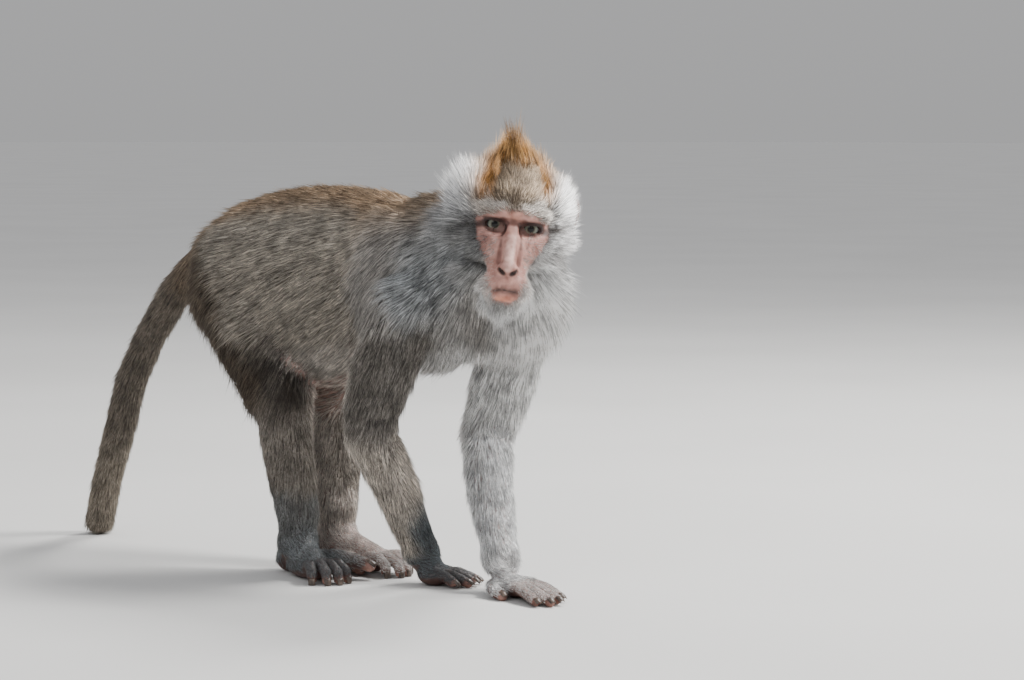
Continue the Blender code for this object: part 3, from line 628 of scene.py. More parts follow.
CREST_TIP = (-11, 29, 90)
crown = partial(head_zone, "crown")
cheeks = partial(head_zone, "cheeks")
crown("brow", (10, -9, 16), (22, -5, 14), 6, away=(0, -12, 2))
crown("forehead_dark", (0, -6, 22), (0, 8, 36), 7, away=(0, -12, 0), sides=(1,))
crown("forehead", (13, -2, 26), (11, 12, 40), 10, away=(0, -12, 4))
crown("gold", (25, 3, 23), (27, 18, 37), 9, toward=CREST_TIP, sides=(1,))
crown("gold", (27, 4, 25), (29, 20, 38), 13, toward=CREST_TIP, sides=(-1,))
crown("gold_long", (9, 19, 46), (13, 34, 47), 8, toward=CREST_TIP)
crown("crest", (-5, 22, 48), (-6, 28, 49), 8, toward=CREST_TIP, sides=(1,))
crown("temple_r", (38, 7, 12), (43, 26, 20), 11, (0.55, 0.35, 0.8), sides=(-1,))
crown("temple_r", (42, 24, 4), (42, 38, 8), 11, (0.8, 0.3, 0.45), sides=(-1,))
crown("temple_l", (33, 3, 13), (39, 23, 20), 11, (0.5, 0.4, 0.8), sides=(1,))
crown("temple_l", (40, 24, 4), (40, 38, 8), 11, (0.8, 0.3, 0.35), sides=(1,))
crown("brow", (26, -3, 8), (30, 3, 9), 5, (0.8, 0.5, 0.4))
crown("nape", (0, 66, 42), (0, 86, 14), 28, (0, 1, -0.6), sides=(1,))
crown("nape", (28, 60, 34), (34, 64, 14), 16, (0.2, 1, -0.4))
cheeks("cheek", (33, 6, -12), (40, 26, -14), 12, (0.75, 0.6, -0.1), sides=(1,))
# The right cheek's darker hair is partly painted shade of the right side.
cheeks("cheek_r", (33, 6, -12), (40, 26, -18), 13, (0.75, 0.6, -0.15), sides=(-1,))
# Dark hair beside the eyes and lower on the cheeks: partly a real dark stripe, partly painted shade in the
# cheek hair.
cheeks("cheek_dark", (26, -3, -3), (33, 6, -5), 4.5, (0.5, 0.85, -0.1))
cheeks("cheek_dark", (30, 0, -23), (37, 8, -25), 5.5, (0.6, 0.8, -0.15))
cheeks("ruff", (25, -2, -37), (35, 16, -40), 11, (0.8, 0.5, -0.3), sides=(1,))
cheeks("ruff", (32, 8, -58), (38, 26, -64), 12, (0.9, 0.2, -0.5), sides=(1,))
cheeks("cheek_r", (24, -2, -36), (34, 16, -38), 10, (0.7, 0.6, -0.3), sides=(-1,))
cheeks("beard", (16, -14, -52), (28, 6, -56), 10, (0.55, 0.5, -0.6))
cheeks("beard", (-6, -24, -66), (6, -24, -66), 8, (0, 0.3, -1), sides=(1,))
cheeks("beard", (0, 4, -66), (0, 20, -68), 20, (0, 0.6, -0.8), sides=(1,))
cheeks("muzzle", (11, -29, -38), (17, -14, -34), 6, (0.5, 0.8, -0.25))
cheeks("muzzle", (11, -28, -52), (15, -20, -50), 5, (0.6, 0.7, -0.5))
cheeks("cheek_back", (40, 46, -14), (38, 50, -40), 16, (0.6, 0.6, -0.5))

GROUPS = sorted({z.group for z in zones})


def capsule_distance(p, start, end):
    """How far each point is from a line between two places."""
    along = end - start
    t = np.clip((p - start) @ along / max(along @ along, 1e-9), 0, 1)
    return lengths(p - start - t[:, None] * along)


def step(low, high, values):
    """Rises smoothly from 0 to 1."""
    t = np.clip((values - low) / (high - low), 0, 1)
    return t * t * (3 - 2 * t)


# The bare face: its half width at levels from under the lip up to the brow.
BARE_LEVEL = (-60, -54, -46, -38, -28, -20, -12, -4, 4, 9, 14)
BARE_HALF = (6, 9.5, 12, 14, 18, 23.5, 27.5, 30, 28.5, 25, 18)


def near_tips(p, fade):
    """1 round the ends of fingers and toes, and 0 beyond fade times their radius."""
    away = [(lengths(p - np.array(tip)), radius) for _, tip, radius in tips]
    return np.max([1 - step(radius * 0.9, radius * fade, far) for far, radius in away], axis=0)


def bareness(p, normals):
    """1 where skin is naked: the face, the same with its thin-haired edge, palms and soles."""
    local = in_head(p)
    ripple = 1.2 * np.sin(local[:, 0] / 2.1) * np.sin(local[:, 2] / 2.7 + 1)
    half = smooth_curve(local[:, 2], BARE_LEVEL, BARE_HALF)
    away = np.abs(local[:, 0]) - half
    away = np.maximum(away, local[:, 2] - 13.5 + 0.012 * local[:, 0] ** 2)
    away = np.maximum(away, -58.5 - local[:, 2]) + ripple
    front = lengths(local) < 80
    face = (1 - step(-2.2, 1.6, away)) * (1 - step(4, 13, local[:, 1])) * front
    edge = (1 - step(-1.5, 10, away)) * (1 - step(6, 24, local[:, 1])) * front
    low = on_paws(p) & (p[:, 2] < 20)
    palm = np.where(low, step(0.0, 0.5, -normals[:, 2]) + step(6.5, 2.5, p[:, 2]), 0)
    return face, edge, np.minimum(np.maximum(palm, near_tips(p, 1.6)), 1)


DOWN = 0.22  # cover of the thin down over the sides of the muzzle
FAINT = 0.02  # a zone with a smaller share of a place grows nothing there

# Marks on the bare face, real stains and painted shade: a line between two places, how wide, the colour,
# how strong.
EYE_DARK, FLESH = srgb(44, 29, 27), srgb(178, 137, 126)
FACE_MARKS_AND_SHADE = [
    ((20, -8, -15), (28, 0, -13), 8, srgb(140, 100, 92), 0.6),
    ((0, -14, 12), (0, -14, 14), 7, srgb(186, 138, 122), 0.7),
    # Dark skin over the upper lid, with painted shadow of the brow on it.
    ((9, -13, 5.0), (22, -7, 4.0), 3.7, srgb(42, 29, 27), 0.88),
    # Dark skin and painted shade at the root of the nose and in the inner corners of the eyes.
    ((0, -14, 4.5), (8, -14, 5.2), 3.4, srgb(92, 58, 51), 0.6),
    ((5.2, -12, 3), (6.6, -12, -5), 3.0, srgb(78, 50, 46), 0.85),
    # Dark skin and painted shade at the outer corners of the eyes.
    ((22.5, -6, 0), (28, -1, -2), 4.2, srgb(44, 32, 30), 0.85),
    ((10, -12, -8), (20, -9, -8.4), 2.3, srgb(226, 176, 164), 0.9),
    # Painted shade in the crease under the lower-lid bag.
    ((9, -11, -11.6), (22, -7, -12), 1.5, srgb(112, 66, 60), 0.75),
    # Painted shade along the sides of the nose.
    ((6, -14, -8), (8, -28, -26), 3.2, srgb(104, 66, 58), 0.75),
    ((0, -20, -8), (0, -37, -28), 4.0, srgb(206, 172, 162), 0.75),
    # More painted shade at the top of the nose's sides.
    ((6, -12, 0), (7.4, -20, -15), 2.4, srgb(62, 38, 34), 0.8),
    # Painted shade in the nostrils.
    ((3.5, -38, -33.5), (6, -35, -31), 2.6, srgb(34, 20, 18), 0.97),
    ((0, -39, -36), (0, -42, -45), 1.2, srgb(110, 70, 62), 0.7),
    # Painted shade along the mouth line.
    ((0, -39, -46.8), (9.5, -37, -47.8), 2.4, srgb(46, 34, 33), 0.9),
    ((0, -36, -59), (6, -34, -58), 2.4, srgb(96, 76, 72), 0.7),
    ((0, -38, -53.5), (7, -35, -53), 3.6, srgb(196, 132, 110), 0.95),
    # Painted shade in the fold between cheek and muzzle.
    ((24, -6, -20), (18, -14, -32), 6, srgb(128, 92, 84), 0.6),
    ((14, -24, -42), (12, -30, -36), 5, srgb(168, 120, 108), 0.6),
]


def marked_and_shaded(local):
    """The colours of bare flesh, with its stains and painted shade, at places read from the head."""
    flesh = np.tile(FLESH, (len(local), 1))
    for start, end, width, colour, strength in FACE_MARKS_AND_SHADE:
        for s in (1, -1):
            ends = [np.array((q[0] * s, q[1], q[2]), float) for q in (start, end)]
            share = 1 - step(width * 0.45, width * 1.25, capsule_distance(local, *ends))
            flesh += (share * strength)[:, None] * (np.array(colour) - flesh)
    for s in (1, -1):
        rim = np.hypot((local[:, 0] - EYE_OUT * s) / 8.6, (local[:, 2] + 0.2) / 5.3)
        share = (1 - step(1.02, 1.3, rim)) * (local[:, 1] < 0)
        # The dark rim is dark skin, made stronger above by painted shadow of the brow.
        share *= 0.75 + 0.25 * step(-4, 2, local[:, 2])
        flesh += (share * 0.85)[:, None] * (np.array(EYE_DARK) - flesh)
    return flesh


def sole_tints(p):
    """Dark palms and soles, paler at the pads of the tips."""
    pads = near_tips(p + (0, 0, 1), 1.5)
    left = (p[:, :1] > 8) | (p[:, 1:2] < -140)
    sole = np.where(left, srgb(92, 66, 58), srgb(84, 62, 56))
    return sole + pads[:, None] * (np.array(srgb(146, 112, 101)) - sole)


def unit_rows(rows):
    """The rows, each brought to length 1."""
    return rows / np.maximum(np.linalg.norm(rows, axis=1, keepdims=True), 1e-6)


def lie_in(z, p, normals):
    """Which way a zone's hair points at each place."""
    if z.toward is not None:
        return unit_rows(np.array(z.toward, float) - p)
    comb = p - np.array(z.away, float) if z.comb is None else np.array(z.comb, float)[None]
    comb = unit_rows(comb - (comb * normals).sum(1, keepdims=True) * normals)
    return unit_rows(comb + normals * math.tan(math.radians(COATS[z.coat][LIFT])))


def paint(mesh):
    """Writes the lie, the size and the colours of the coat onto the skin."""
    p = places(mesh) / MM
    normals = read(mesh.vertex_normals, "vector", 3)
    drift = np.sin(p[:, [1, 2, 0]] / 5.3 + 1.7 * np.sin(p / 9.1)) * 2.2
    drift += np.sin(p[:, [2, 0, 1]] / 2.9) * 0.9
    far = [capsule_distance(p + drift, z.start, z.end) / z.reach for z in zones]
    weights = 1 / (np.stack(far) + 0.15) ** 5
    weights /= weights.sum(0)

    def column(i):
        values = [COATS[z.coat][i] for z in zones]
        return weights.T @ np.array([srgb(*v) for v in values] if i >= ROOT else values, float)

    local = in_head(p)
    face, edge, pads = bareness(p, normals)
    tint = column(UNDER)
    tint += face[:, None] * (marked_and_shaded(local) - tint)
    tint += pads[:, None] * (sole_tints(p) - tint)
    down = DOWN * face * step(4, 11, -local[:, 2]) * step(7, 15, np.abs(local[:, 0]))
    cover = column(COVER) * (1 - np.maximum(face, pads)) + down * step(-50, -44, local[:, 2])
    size = np.stack([column(THICK), column(LENGTH), np.zeros(len(p))], axis=1) * MM
    size *= (1 - 0.62 * edge[:, None]) * (1 - 0.35 * face[:, None])
    lie = unit_rows(sum(w[:, None] * lie_in(z, p, normals) for z, w in zip(zones, weights)))
    fields = [("lie", "FLOAT_VECTOR", "vector", lie), ("size", "FLOAT_VECTOR", "vector", size)]
    for name, colour in (("root_tint", column(ROOT)), ("tip_tint", column(TIP)), ("tint", tint)):
        colour = np.hstack([colour, np.ones((len(p), 1))])
        fields.append((name, "FLOAT_COLOR", "color", colour))
    for group in GROUPS:
        share = sum(w for z, w in zip(zones, weights) if z.group == group)
        fields.append(("cover_" + group, "FLOAT", "value", share * cover * (share > FAINT)))
    for name, kind, key, values in fields:
        layer = mesh.attributes.new(name, kind, "POINT")
        layer.data.foreach_set(key, np.ascontiguousarray(values, np.float32).ravel())


# The skin's unwrap: one sleeve round each bone, in a grid of cells.
SLEEVES = [
    ((0, 190, 262), (0, 0, 262), 62),
    ((0, 0, 262), (0, -180, 262), 58),
    (NECK_ROOT, head_point(0, 40, -20), 38),
    (head_point(0, 20, -60), head_point(0, 34, 50), 40),
    *((SHOULDER[side], ELBOW[side], 26) for side in SIDES),
    *((ELBOW[side], WRIST[side], 18) for side in SIDES),
    *((HIP[side], KNEE[side], 36) for side in SIDES),
    *((KNEE[side], ANKLE[side], 20) for side in SIDES),
    ((-4, -87, 10), (0, -140, 10), 14),
    ((3, -168, 10), (12, -256, 10), 14),
    ((-30, 50, 12), (-58, -45, 12), 14),
    ((25, 56, 12), (32, -55, 12), 14),
    (TAIL[0], TAIL[3], 12),
    (TAIL[3], TAIL[6], 12),
]


def unwrap(mesh):
    """Lays each sleeve of skin flat in its own cell."""
    p = places(mesh) / MM
    corners = read(mesh.loops, "vertex_index", kind=int)
    totals = read(mesh.polygons, "loop_total", kind=int)
    face_of = np.repeat(np.arange(len(totals)), totals)
    middles = np.stack([np.bincount(face_of, p[corners, i]) for i in range(3)], axis=1)
    middles /= totals[:, None]
    bones = [(np.array(a, float), np.array(b, float), r) for a, b, r in SLEEVES]
    nearest = np.argmin([capsule_distance(middles, a, b) / r for a, b, r in bones], axis=0)
    uv = np.zeros((len(corners), 2))
    for i, (start, end, _) in enumerate(bones):
        chosen = nearest[face_of] == i
        axis = (end - start) / np.linalg.norm(end - start)
        side = np.cross(axis, (0.35, 0.1, 0.93))
        side /= np.linalg.norm(side)
        other = np.cross(axis, side)
        angle = lambda q: np.arctan2((q - start) @ other, (q - start) @ side)
        centre = angle(middles)[face_of[chosen]]
        turn = angle(p[corners[chosen]]) - centre
        turn = (turn + math.pi) % math.tau - math.pi
        u = (centre + turn) / math.tau + 0.5
        v = (p[corners[chosen]] - start) @ axis / np.linalg.norm(end - start)
        cell = np.array((i % 5, i // 5)) + 0.08
        uv[chosen] = (cell + 0.84 * np.stack([u, 0.15 + 0.7 * v], axis=1)) / (5, 4)
    layer = mesh.uv_layers.new(name="UVMap")
    layer.data.foreach_set("uv", np.clip(uv, 0, 1).astype(np.float32).ravel())


def feed(tree, socket, value):
    """Links an input to another node's output, or sets it to a plain value."""
    if isinstance(value, bpy.types.NodeSocket):
        tree.links.new(value, socket)
    else:
        socket.default_value = value


def add_node(tree, kind, feeds=None, **settings):
    """A new node with its settings made and its inputs fed."""
    made = tree.nodes.new(kind)
    for key, value in settings.items():
        setattr(made, key, value)
    for key, value in (feeds or {}).items():
        feed(tree, made.inputs[key], value)
    return made


def maths(tree, operation, *values):
    """The result of one sum on numbers."""
    return add_node(tree, "ShaderNodeMath", dict(enumerate(values)), operation=operation).outputs[0]


def vectors(tree, operation, *values, scale=None):
    """The result of one sum on vectors."""
    feeds = dict(enumerate(values)) | ({} if scale is None else {"Scale": scale})
    return add_node(tree, "ShaderNodeVectorMath", feeds, operation=operation).outputs[0]


def new_material(name, constants):
    """A material, its tree and its shader, with the shader's constants set."""
    material = bpy.data.materials.new(name)
    material.use_nodes = True
    shader = material.node_tree.nodes["Principled BSDF"]
    for socket, value in constants.items():
        shader.inputs[socket].default_value = value
    return material, material.node_tree, shader


def attribute(tree, name, output="Color"):
    """What the mesh carries under a name."""
    return add_node(tree, "ShaderNodeAttribute", attribute_name=name).outputs[output]


def object_place(tree):
    """The place on the piece, whatever the view."""
    return tree.nodes.new("ShaderNodeTexCoord").outputs["Object"]


def mix_colours(tree, mode, factor, a, b):
    """Two colours mixed; each input is a socket or a plain value."""
    feeds = {"Factor": factor, 6: a, 7: b}
    return add_node(tree, "ShaderNodeMix", feeds, data_type="RGBA", blend_type=mode).outputs[2]


def noise(tree, scale, detail):
    """Soft clouds fixed to the piece."""
    feeds = {"Scale": scale, "Detail": detail, "Vector": object_place(tree)}
    return add_node(tree, "ShaderNodeTexNoise", feeds).outputs["Fac"]


def ramp(tree, value, stops):
    """Colours at stops along a value. One number stands for a grey."""
    node = add_node(tree, "ShaderNodeValToRGB", {"Fac": value})
    elements = node.color_ramp.elements
    for i, (at, colour) in enumerate(stops):
        element = elements[i] if i < 2 else elements.new(at)
        element.position = at
        element.color = (*(colour if isinstance(colour, tuple) else (colour,) * 3), 1)
    return node.outputs["Color"]


def mottle(tree, scale, detail, dark, light):
    """Two colours in soft patches."""
    return ramp(tree, noise(tree, scale, detail), [(0.3, dark), (0.7, light)])


def bump(tree, shader, height, strength, distance):
    """Fine relief on a shader."""
    feeds = {"Strength": strength, "Distance": distance, "Height": height}
    feed(tree, shader.inputs["Normal"], add_node(tree, "ShaderNodeBump", feeds).outputs["Normal"])


def skin_material():
    """Thin skin: flushed in patches, finely creased, with a soft sheen."""
    constants = {"Roughness": 0.5, "Specular IOR Level": 0.35}
    constants |= {"Subsurface Weight": 0.08, "Subsurface Scale": 0.003}
    material, tree, shader = new_material("hide", constants)
    blotch = mottle(tree, 160, 4, (0.66, 0.55, 0.53), (1.22, 1.2, 1.2))
    colour = mix_colours(tree, "MULTIPLY", 1.0, attribute(tree, "tint"), blotch)
    feed(tree, shader.inputs["Base Color"], colour)
    feeds = {"Scale": 520, "Vector": object_place(tree)}
    creases = add_node(tree, "ShaderNodeTexVoronoi", feeds, feature="DISTANCE_TO_EDGE")
    height = mix_colours(tree, "MIX", 0.5, creases.outputs["Distance"], noise(tree, 900, 2))
    bump(tree, shader, height, 0.35, 0.0006)
    return material


def to_place(mesh):
    """Moves a piece's mesh from the bench to its place."""
    mesh.transform(Matrix.Translation(BENCH * MM))


paint(skin.data)
unwrap(skin.data)
to_place(skin.data)
skin.data.shade_smooth()
skin.data.materials.append(skin_material())
FLESH_NODES = ["head", "neck", "trunk", "tail_root", "tail_middle", "tail_end"]
FLESH_NODES += [
    f"{part}_{side}" for part in ("upper_arm", "forearm", "hand", "thigh", "shank", "foot") for side in "rl"
]
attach(skin, "root")
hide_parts(*FLESH_NODES)

# ---------------------------------------------------------------- Coat
# Soft straight hair in small locks of three, rooted in the skin and lying along the body.
# It stands up on the crown, where it meets in a pointed crest, and fans out on the cheeks.
QUICK = 1.0
LOCKS = {"crown": 15800, "cheeks": 15800, "mantle": 15400, "back": 15800, "flanks": 10500}
LOCKS |= {"arms": 13500, "legs": 15800, "paws": 12500, "tail": 6500}
SLOTS = {"crown": "head", "cheeks": "head", "mantle": "neck", "back": "trunk", "flanks": "trunk"}
SLOTS |= {"arms": "upper_arm_r", "legs": "thigh_r", "paws": "hand_r", "tail": "tail_middle"}
PATCH = 0.003  # side of each lock's own patch on the coat's map
MARGIN = 0.01  # kept clear round the coat's map
WISP_POWER, WISP_LENGTH = 14.0, 0.38  # a few hairs outgrow their neighbours by this share
HAIR_FLOOR = 0.0003  # no hair dips lower


def hair_lock():
    """Three hairs from one root, each a slim closed spike: X in widths, Y and Z in lengths."""
    points, faces, along, patch, shade = [], [], [], [], []
    hairs = [(0, 0, 0.2, -0.12, 1.0), (-0.9, -0.01, -1.5, -0.17, 0.84), (0.9, -0.01, 1.6, -0.07, 0.72)]
    for x, y, tip_x, tip_y, tall in hairs:
        i = len(points)
        points += [(x - 0.5, y, -0.03), (x + 0.5, y, -0.03), (x, y + 0.025, -0.03), (tip_x, tip_y, tall)]
        faces += [(i, i + 2, i + 1), (i, i + 1, i + 3), (i + 1, i + 2, i + 3), (i + 2, i, i + 3)]
        along += [0, 0, 0, 1]
        shade += [0.37 * len(shade) / 4] * 4
        patch += [(0, 0, 0), (1, 0, 0), (0.5, 0, 0), (0.5, 1, 0)]
    lock = new_shape("lock", points, faces)
    layers = lock.data.attributes
    layers.new("along", "FLOAT", "POINT").data.foreach_set("value", along)
    layers.new("shade", "FLOAT", "POINT").data.foreach_set("value", shade)
    flat = np.array(patch, float).ravel()
    layers.new("patch", "FLOAT_VECTOR", "POINT").data.foreach_set("vector", flat)
    return lock


def coat_tree():
    """Scatters locks over the skin by its cover, turns them to its lie, and keeps them as mesh."""
    tree = bpy.data.node_groups.new("coat", "GeometryNodeTree")
    face = tree.interface
    face.new_socket("Geometry", in_out="OUTPUT", socket_type="NodeSocketGeometry")
    face.new_socket("Geometry", in_out="INPUT", socket_type="NodeSocketGeometry")
    kinds = {"Lock": "Object", "Cover": "String", "Density": "Float", "Seed": "Int"}
    kinds |= {"Clump Scale": "Float", "Clumping": "Float", "Stray": "Float"}
    kinds |= {"Map Scale": "Vector", "Map Shift": "Vector", "Material": "Material"}
    for name, kind in kinds.items():
        face.new_socket(name, in_out="INPUT", socket_type="NodeSocket" + kind)
    given = tree.nodes.new("NodeGroupInput").outputs
    node, sums, vector = (partial(make, tree) for make in (add_node, maths, vectors))

    def named(name, kind="FLOAT_VECTOR"):
        made = node("GeometryNodeInputNamedAttribute", {"Name": name}, data_type=kind)
        return made.outputs["Attribute"]

    def random(low, high, shift, kind="FLOAT"):
        made = node("FunctionNodeRandomValue", {"Seed": sums("ADD", given["Seed"], shift)}, data_type=kind)
        lowest, highest = [socket for socket in made.inputs if socket.enabled][:2]
        feed(tree, lowest, low)
        feed(tree, highest, high)
        return next(socket for socket in made.outputs if socket.enabled)

    def any_way(shift, scale):
        return vector("SCALE", random((-1, -1, -1), (1, 1, 1), shift, "FLOAT_VECTOR"), scale=scale)

    thickly = sums("MULTIPLY", named(given["Cover"], "FLOAT"), given["Density"])
    feeds = {"Mesh": given["Geometry"], "Density": thickly, "Seed": given["Seed"]}
    scatter = node("GeometryNodeDistributePointsOnFaces", feeds, distribute_method="RANDOM")
    width, length, _ = node("ShaderNodeSeparateXYZ", {0: named("size")}).outputs
    clump = node("ShaderNodeTexNoise", {"Scale": given["Clump Scale"], "Detail": 1.0})
    pull = vector("SUBTRACT", clump.outputs["Color"], (0.5, 0.5, 0.5))
    pull = vector("SCALE", pull, scale=given["Clumping"])
    way = vector("ADD", pull, any_way(3, given["Stray"]))
    way = vector("ADD", vector("NORMALIZE", named("lie")), way)
    point = node("FunctionNodeAlignRotationToVector", {"Vector": way}, axis="Z")
    sway = vector("ADD", scatter.outputs["Normal"], any_way(5, 0.35))
    feeds = {"Rotation": point.outputs[0], "Vector": sway}
    roll = node("FunctionNodeAlignRotationToVector", feeds, axis="Y", pivot_axis="Z")
    wisp = sums("MULTIPLY", sums("POWER", random(0.0, 1.0, 13), WISP_POWER), WISP_LENGTH)
    tall = sums("MULTIPLY", length, sums("ADD", random(0.6, 1.1, 7), wisp))
    wide = sums("MULTIPLY", width, random(0.7, 1.2, 9))
    size = node("ShaderNodeCombineXYZ", {0: wide, 1: tall, 2: tall})
    lock = node("GeometryNodeObjectInfo", {"Object": given["Lock"]})
    feeds = {"Points": scatter.outputs["Points"], "Instance": lock.outputs["Geometry"]}
    feeds |= {"Rotation": roll.outputs[0], "Scale": size.outputs[0]}
    plant = node("GeometryNodeInstanceOnPoints", feeds)
    feeds = {"Geometry": plant.outputs[0], "Name": "chance", "Value": random(0.0, 1.0, 11)}
    chance = node("GeometryNodeStoreNamedAttribute", feeds, data_type="FLOAT", domain="INSTANCE")
    real = node("GeometryNodeRealizeInstances", {0: chance.outputs[0]})
    above = vector("MAXIMUM", node("GeometryNodeInputPosition").outputs[0], (-9, -9, HAIR_FLOOR))
    lifted = node("GeometryNodeSetPosition", {"Geometry": real.outputs[0], "Position": above})
    spot = vector("MULTIPLY", named("UVMap"), given["Map Scale"])
    spot = vector("ADD", spot, given["Map Shift"])
    spot = vector("ADD", spot, vector("SCALE", named("patch"), scale=PATCH))
    feeds = {"Geometry": lifted.outputs[0], "Name": "OFBake"}
    mapped = node("GeometryNodeStoreNamedAttribute", feeds, data_type="FLOAT2", domain="CORNER")
    feed(tree, next(s for s in mapped.inputs if s.name == "Value" and s.enabled), spot)
    smooth = node("GeometryNodeSetShadeSmooth", {"Geometry": mapped.outputs[0]})
    feeds = {"Geometry": smooth.outputs[0], "Material": given["Material"]}
    dressed = node("GeometryNodeSetMaterial", feeds)
    node("NodeGroupOutput", {0: dressed.outputs[0]})
    return tree


def hair_material():
    """Hair dark at the root and light at the tip, with a dark band, each hair a little different."""
    material, tree, shader = new_material("hair", {"Roughness": 0.55, "Specular IOR Level": 0.3})
    own = [attribute(tree, name, "Fac") for name in ("chance", "shade")]
    chance = maths(tree, "FRACT", maths(tree, "ADD", *own))
    along = maths(tree, "MULTIPLY_ADD", chance, 0.5, attribute(tree, "along", "Fac"))
    fade = ramp(tree, along, [(0.12, 0.0), (0.5, 0.65), (0.72, 0.25), (0.95, 1.0)])
    ends = [attribute(tree, name) for name in ("root_tint", "tip_tint")]
    colour = mix_colours(tree, "MIX", fade, *ends)
    colour = mix_colours(tree, "MULTIPLY", 1.0, colour, mottle(tree, 70, 3, 0.66, 1.34))
    varied = ramp(tree, chance, [(0.0, 0.46), (1.0, 1.54)])
    feed(tree, shader.inputs["Base Color"], mix_colours(tree, "MULTIPLY", 1.0, colour, varied))
    return material


def grow(group, tree, lock, hair, seed):
    """One stretch of the coat as a mesh of its own."""
    mesh = skin.data
    cover = read(mesh.attributes["cover_" + group].data, "value")
    mesh.calc_loop_triangles()
    triangles = read(mesh.loop_triangles, "vertices", 3, int)
    p = places(mesh)[triangles]
    areas = lengths(np.cross(p[:, 1] - p[:, 0], p[:, 2] - p[:, 0])) / 2
    density = LOCKS[group] * QUICK / (areas * cover[triangles].mean(1)).sum()
    corners = read(mesh.loops, "vertex_index", kind=int)
    spread = read(mesh.uv_layers["UVMap"].data, "uv", 2)[cover[corners] > FAINT]
    low, high = spread.min(0), spread.max(0)
    scale = (1 - 2 * MARGIN) / (high - low)
    holder = bpy.data.objects.new("coat_" + group, mesh.copy())
    bpy.context.collection.objects.link(holder)
    modifier = holder.modifiers.new("coat", "NODES")
    modifier.node_group = tree
    wanted = {"Lock": lock, "Cover": "cover_" + group, "Density": density, "Seed": seed}
    wanted |= {"Clump Scale": 90.0, "Clumping": 0.55, "Stray": 0.1, "Material": hair}
    wanted |= {"Map Scale": (*scale, 0.0), "Map Shift": (*(MARGIN - low * scale), 0.0)}
    for item in tree.interface.items_tree:
        if item.in_out == "INPUT" and item.name in wanted:
            modifier[item.identifier] = wanted[item.name]
    bake(holder)
    coat = holder.data
    keep = {"root_tint", "tip_tint", "along", "chance", "shade", "OFBake", "material_index"}
    for name in [a.name for a in coat.attributes if not a.name.startswith(".") and a.name not in keep]:
        layer = coat.attributes.get(name)
        if layer and not layer.is_required:
            coat.attributes.remove(layer)
    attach(holder, "root")


lock = hair_lock()
tree = coat_tree()
hair = hair_material()
lock.data.materials.append(hair)
for seed, group in enumerate(LOCKS):
    grow(group, tree, lock, hair, seed + 1)
bpy.data.objects.remove(lock)

# ---------------------------------------------------------------- Eyes
# Moist eyeballs with grey-green irises and small pupils, held by the lids. The white is
# stained brown, as in all macaques, and the clear front bulges a little.
IRIS, PUPIL = 43, 13  # degrees from the gaze
CORNEA_RISE = 0.75


def eyeball(side):
    """A ball of rings about the gaze, with the clear front standing a little proud."""
    centre = head_point(EYE_OUT * SIDES[side], 0, 0)
    gaze = HEAD_TURN.to_matrix() @ Vector((0.0, -1, 0.04)).normalized()
    turn = gaze.to_track_quat("Z", "Y").to_matrix()
    points, faces, around = [], [], 40
    rings = [0, 4, 8, 12, 15, 18, 22, 26, 30, 34, 38, 41, 45, 52, 60, 75, 90, 110, 130, 150, 170]
    for degrees in rings[1:]:
        a = math.radians(degrees)
        radius = EYE_RADIUS + CORNEA_RISE * max(0, 1 - (degrees / 42) ** 2) ** 1.5
        for k in range(around):
            b = math.tau * k / around
            out = Vector((math.sin(a) * math.cos(b), math.sin(a) * math.sin(b), math.cos(a)))
            points.append(out * radius)
    front, back = len(points), len(points) + 1
    points += [Vector((0, 0, EYE_RADIUS + CORNEA_RISE)), Vector((0, 0, -EYE_RADIUS))]
    for k in range(around):
        n = (k + 1) % around
        faces.append((front, k, n))
        last = (len(rings) - 2) * around
        faces.append((back, last + n, last + k))
        for ring in range(len(rings) - 2):
            i = ring * around
            faces.append((i + k, i + around + k, i + around + n, i + n))
    places_in_frame = [(turn @ p + centre + BENCH) * MM for p in points]
    eye = new_shape("eyeball_" + side, places_in_frame, faces)
    eye.data.shade_smooth()
    eye.data.materials.append(eye_material(side, (centre + BENCH) * MM, gaze))
    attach(eye, "root")
    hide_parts("eye_" + side)


def eye_material(side, centre, gaze):
    """Pupil, streaked iris, dark rim and brown white, by the angle from the gaze, with painted shade of the
    upper lid darkening it above.
    """
    constants = {"Roughness": 0.04, "Specular IOR Level": 0.28}
    material, tree, shader = new_material("eye_" + side, constants)
    unit = vectors(tree, "NORMALIZE", vectors(tree, "SUBTRACT", object_place(tree), centre))
    dot = add_node(tree, "ShaderNodeVectorMath", {0: unit, 1: gaze}, operation="DOT_PRODUCT")
    angle = maths(tree, "ARCCOSINE", dot.outputs["Value"])
    pupil, iris = PUPIL / 60, IRIS / 60
    rings = [(pupil, srgb(3, 3, 3)), (pupil + 0.06, srgb(58, 55, 46))]
    rings += [(pupil + 0.2, srgb(112, 113, 101)), (iris - 0.16, srgb(96, 100, 91))]
    rings += [(iris - 0.05, srgb(14, 12, 11)), (iris + 0.1, srgb(44, 32, 28))]
    colour = ramp(tree, maths(tree, "DIVIDE", angle, math.radians(60)), rings)
    colour = mix_colours(tree, "MULTIPLY", 0.7, colour, mottle(tree, 1500, 3, 0.6, 1.3))
    # Painted shade: the eye darkens towards its top as if shaded by the upper lid and lashes.
    level = add_node(tree, "ShaderNodeSeparateXYZ", {0: unit}).outputs["Z"]
    shade = ramp(tree, level, [(0.12, 1.0), (0.62, 0.25)])
    feed(tree, shader.inputs["Base Color"], mix_colours(tree, "MULTIPLY", 1.0, colour, shade))
    return material


for side in SIDES:
    eyeball(side)

# ---------------------------------------------------------------- Ears
# Thin rounded ears of bare pinkish-grey skin, cupped inside with a rounded rim, set low on
# the sides of the head and half hidden in the cheek hair.
EAR_PLACE = (47, 50, 4)


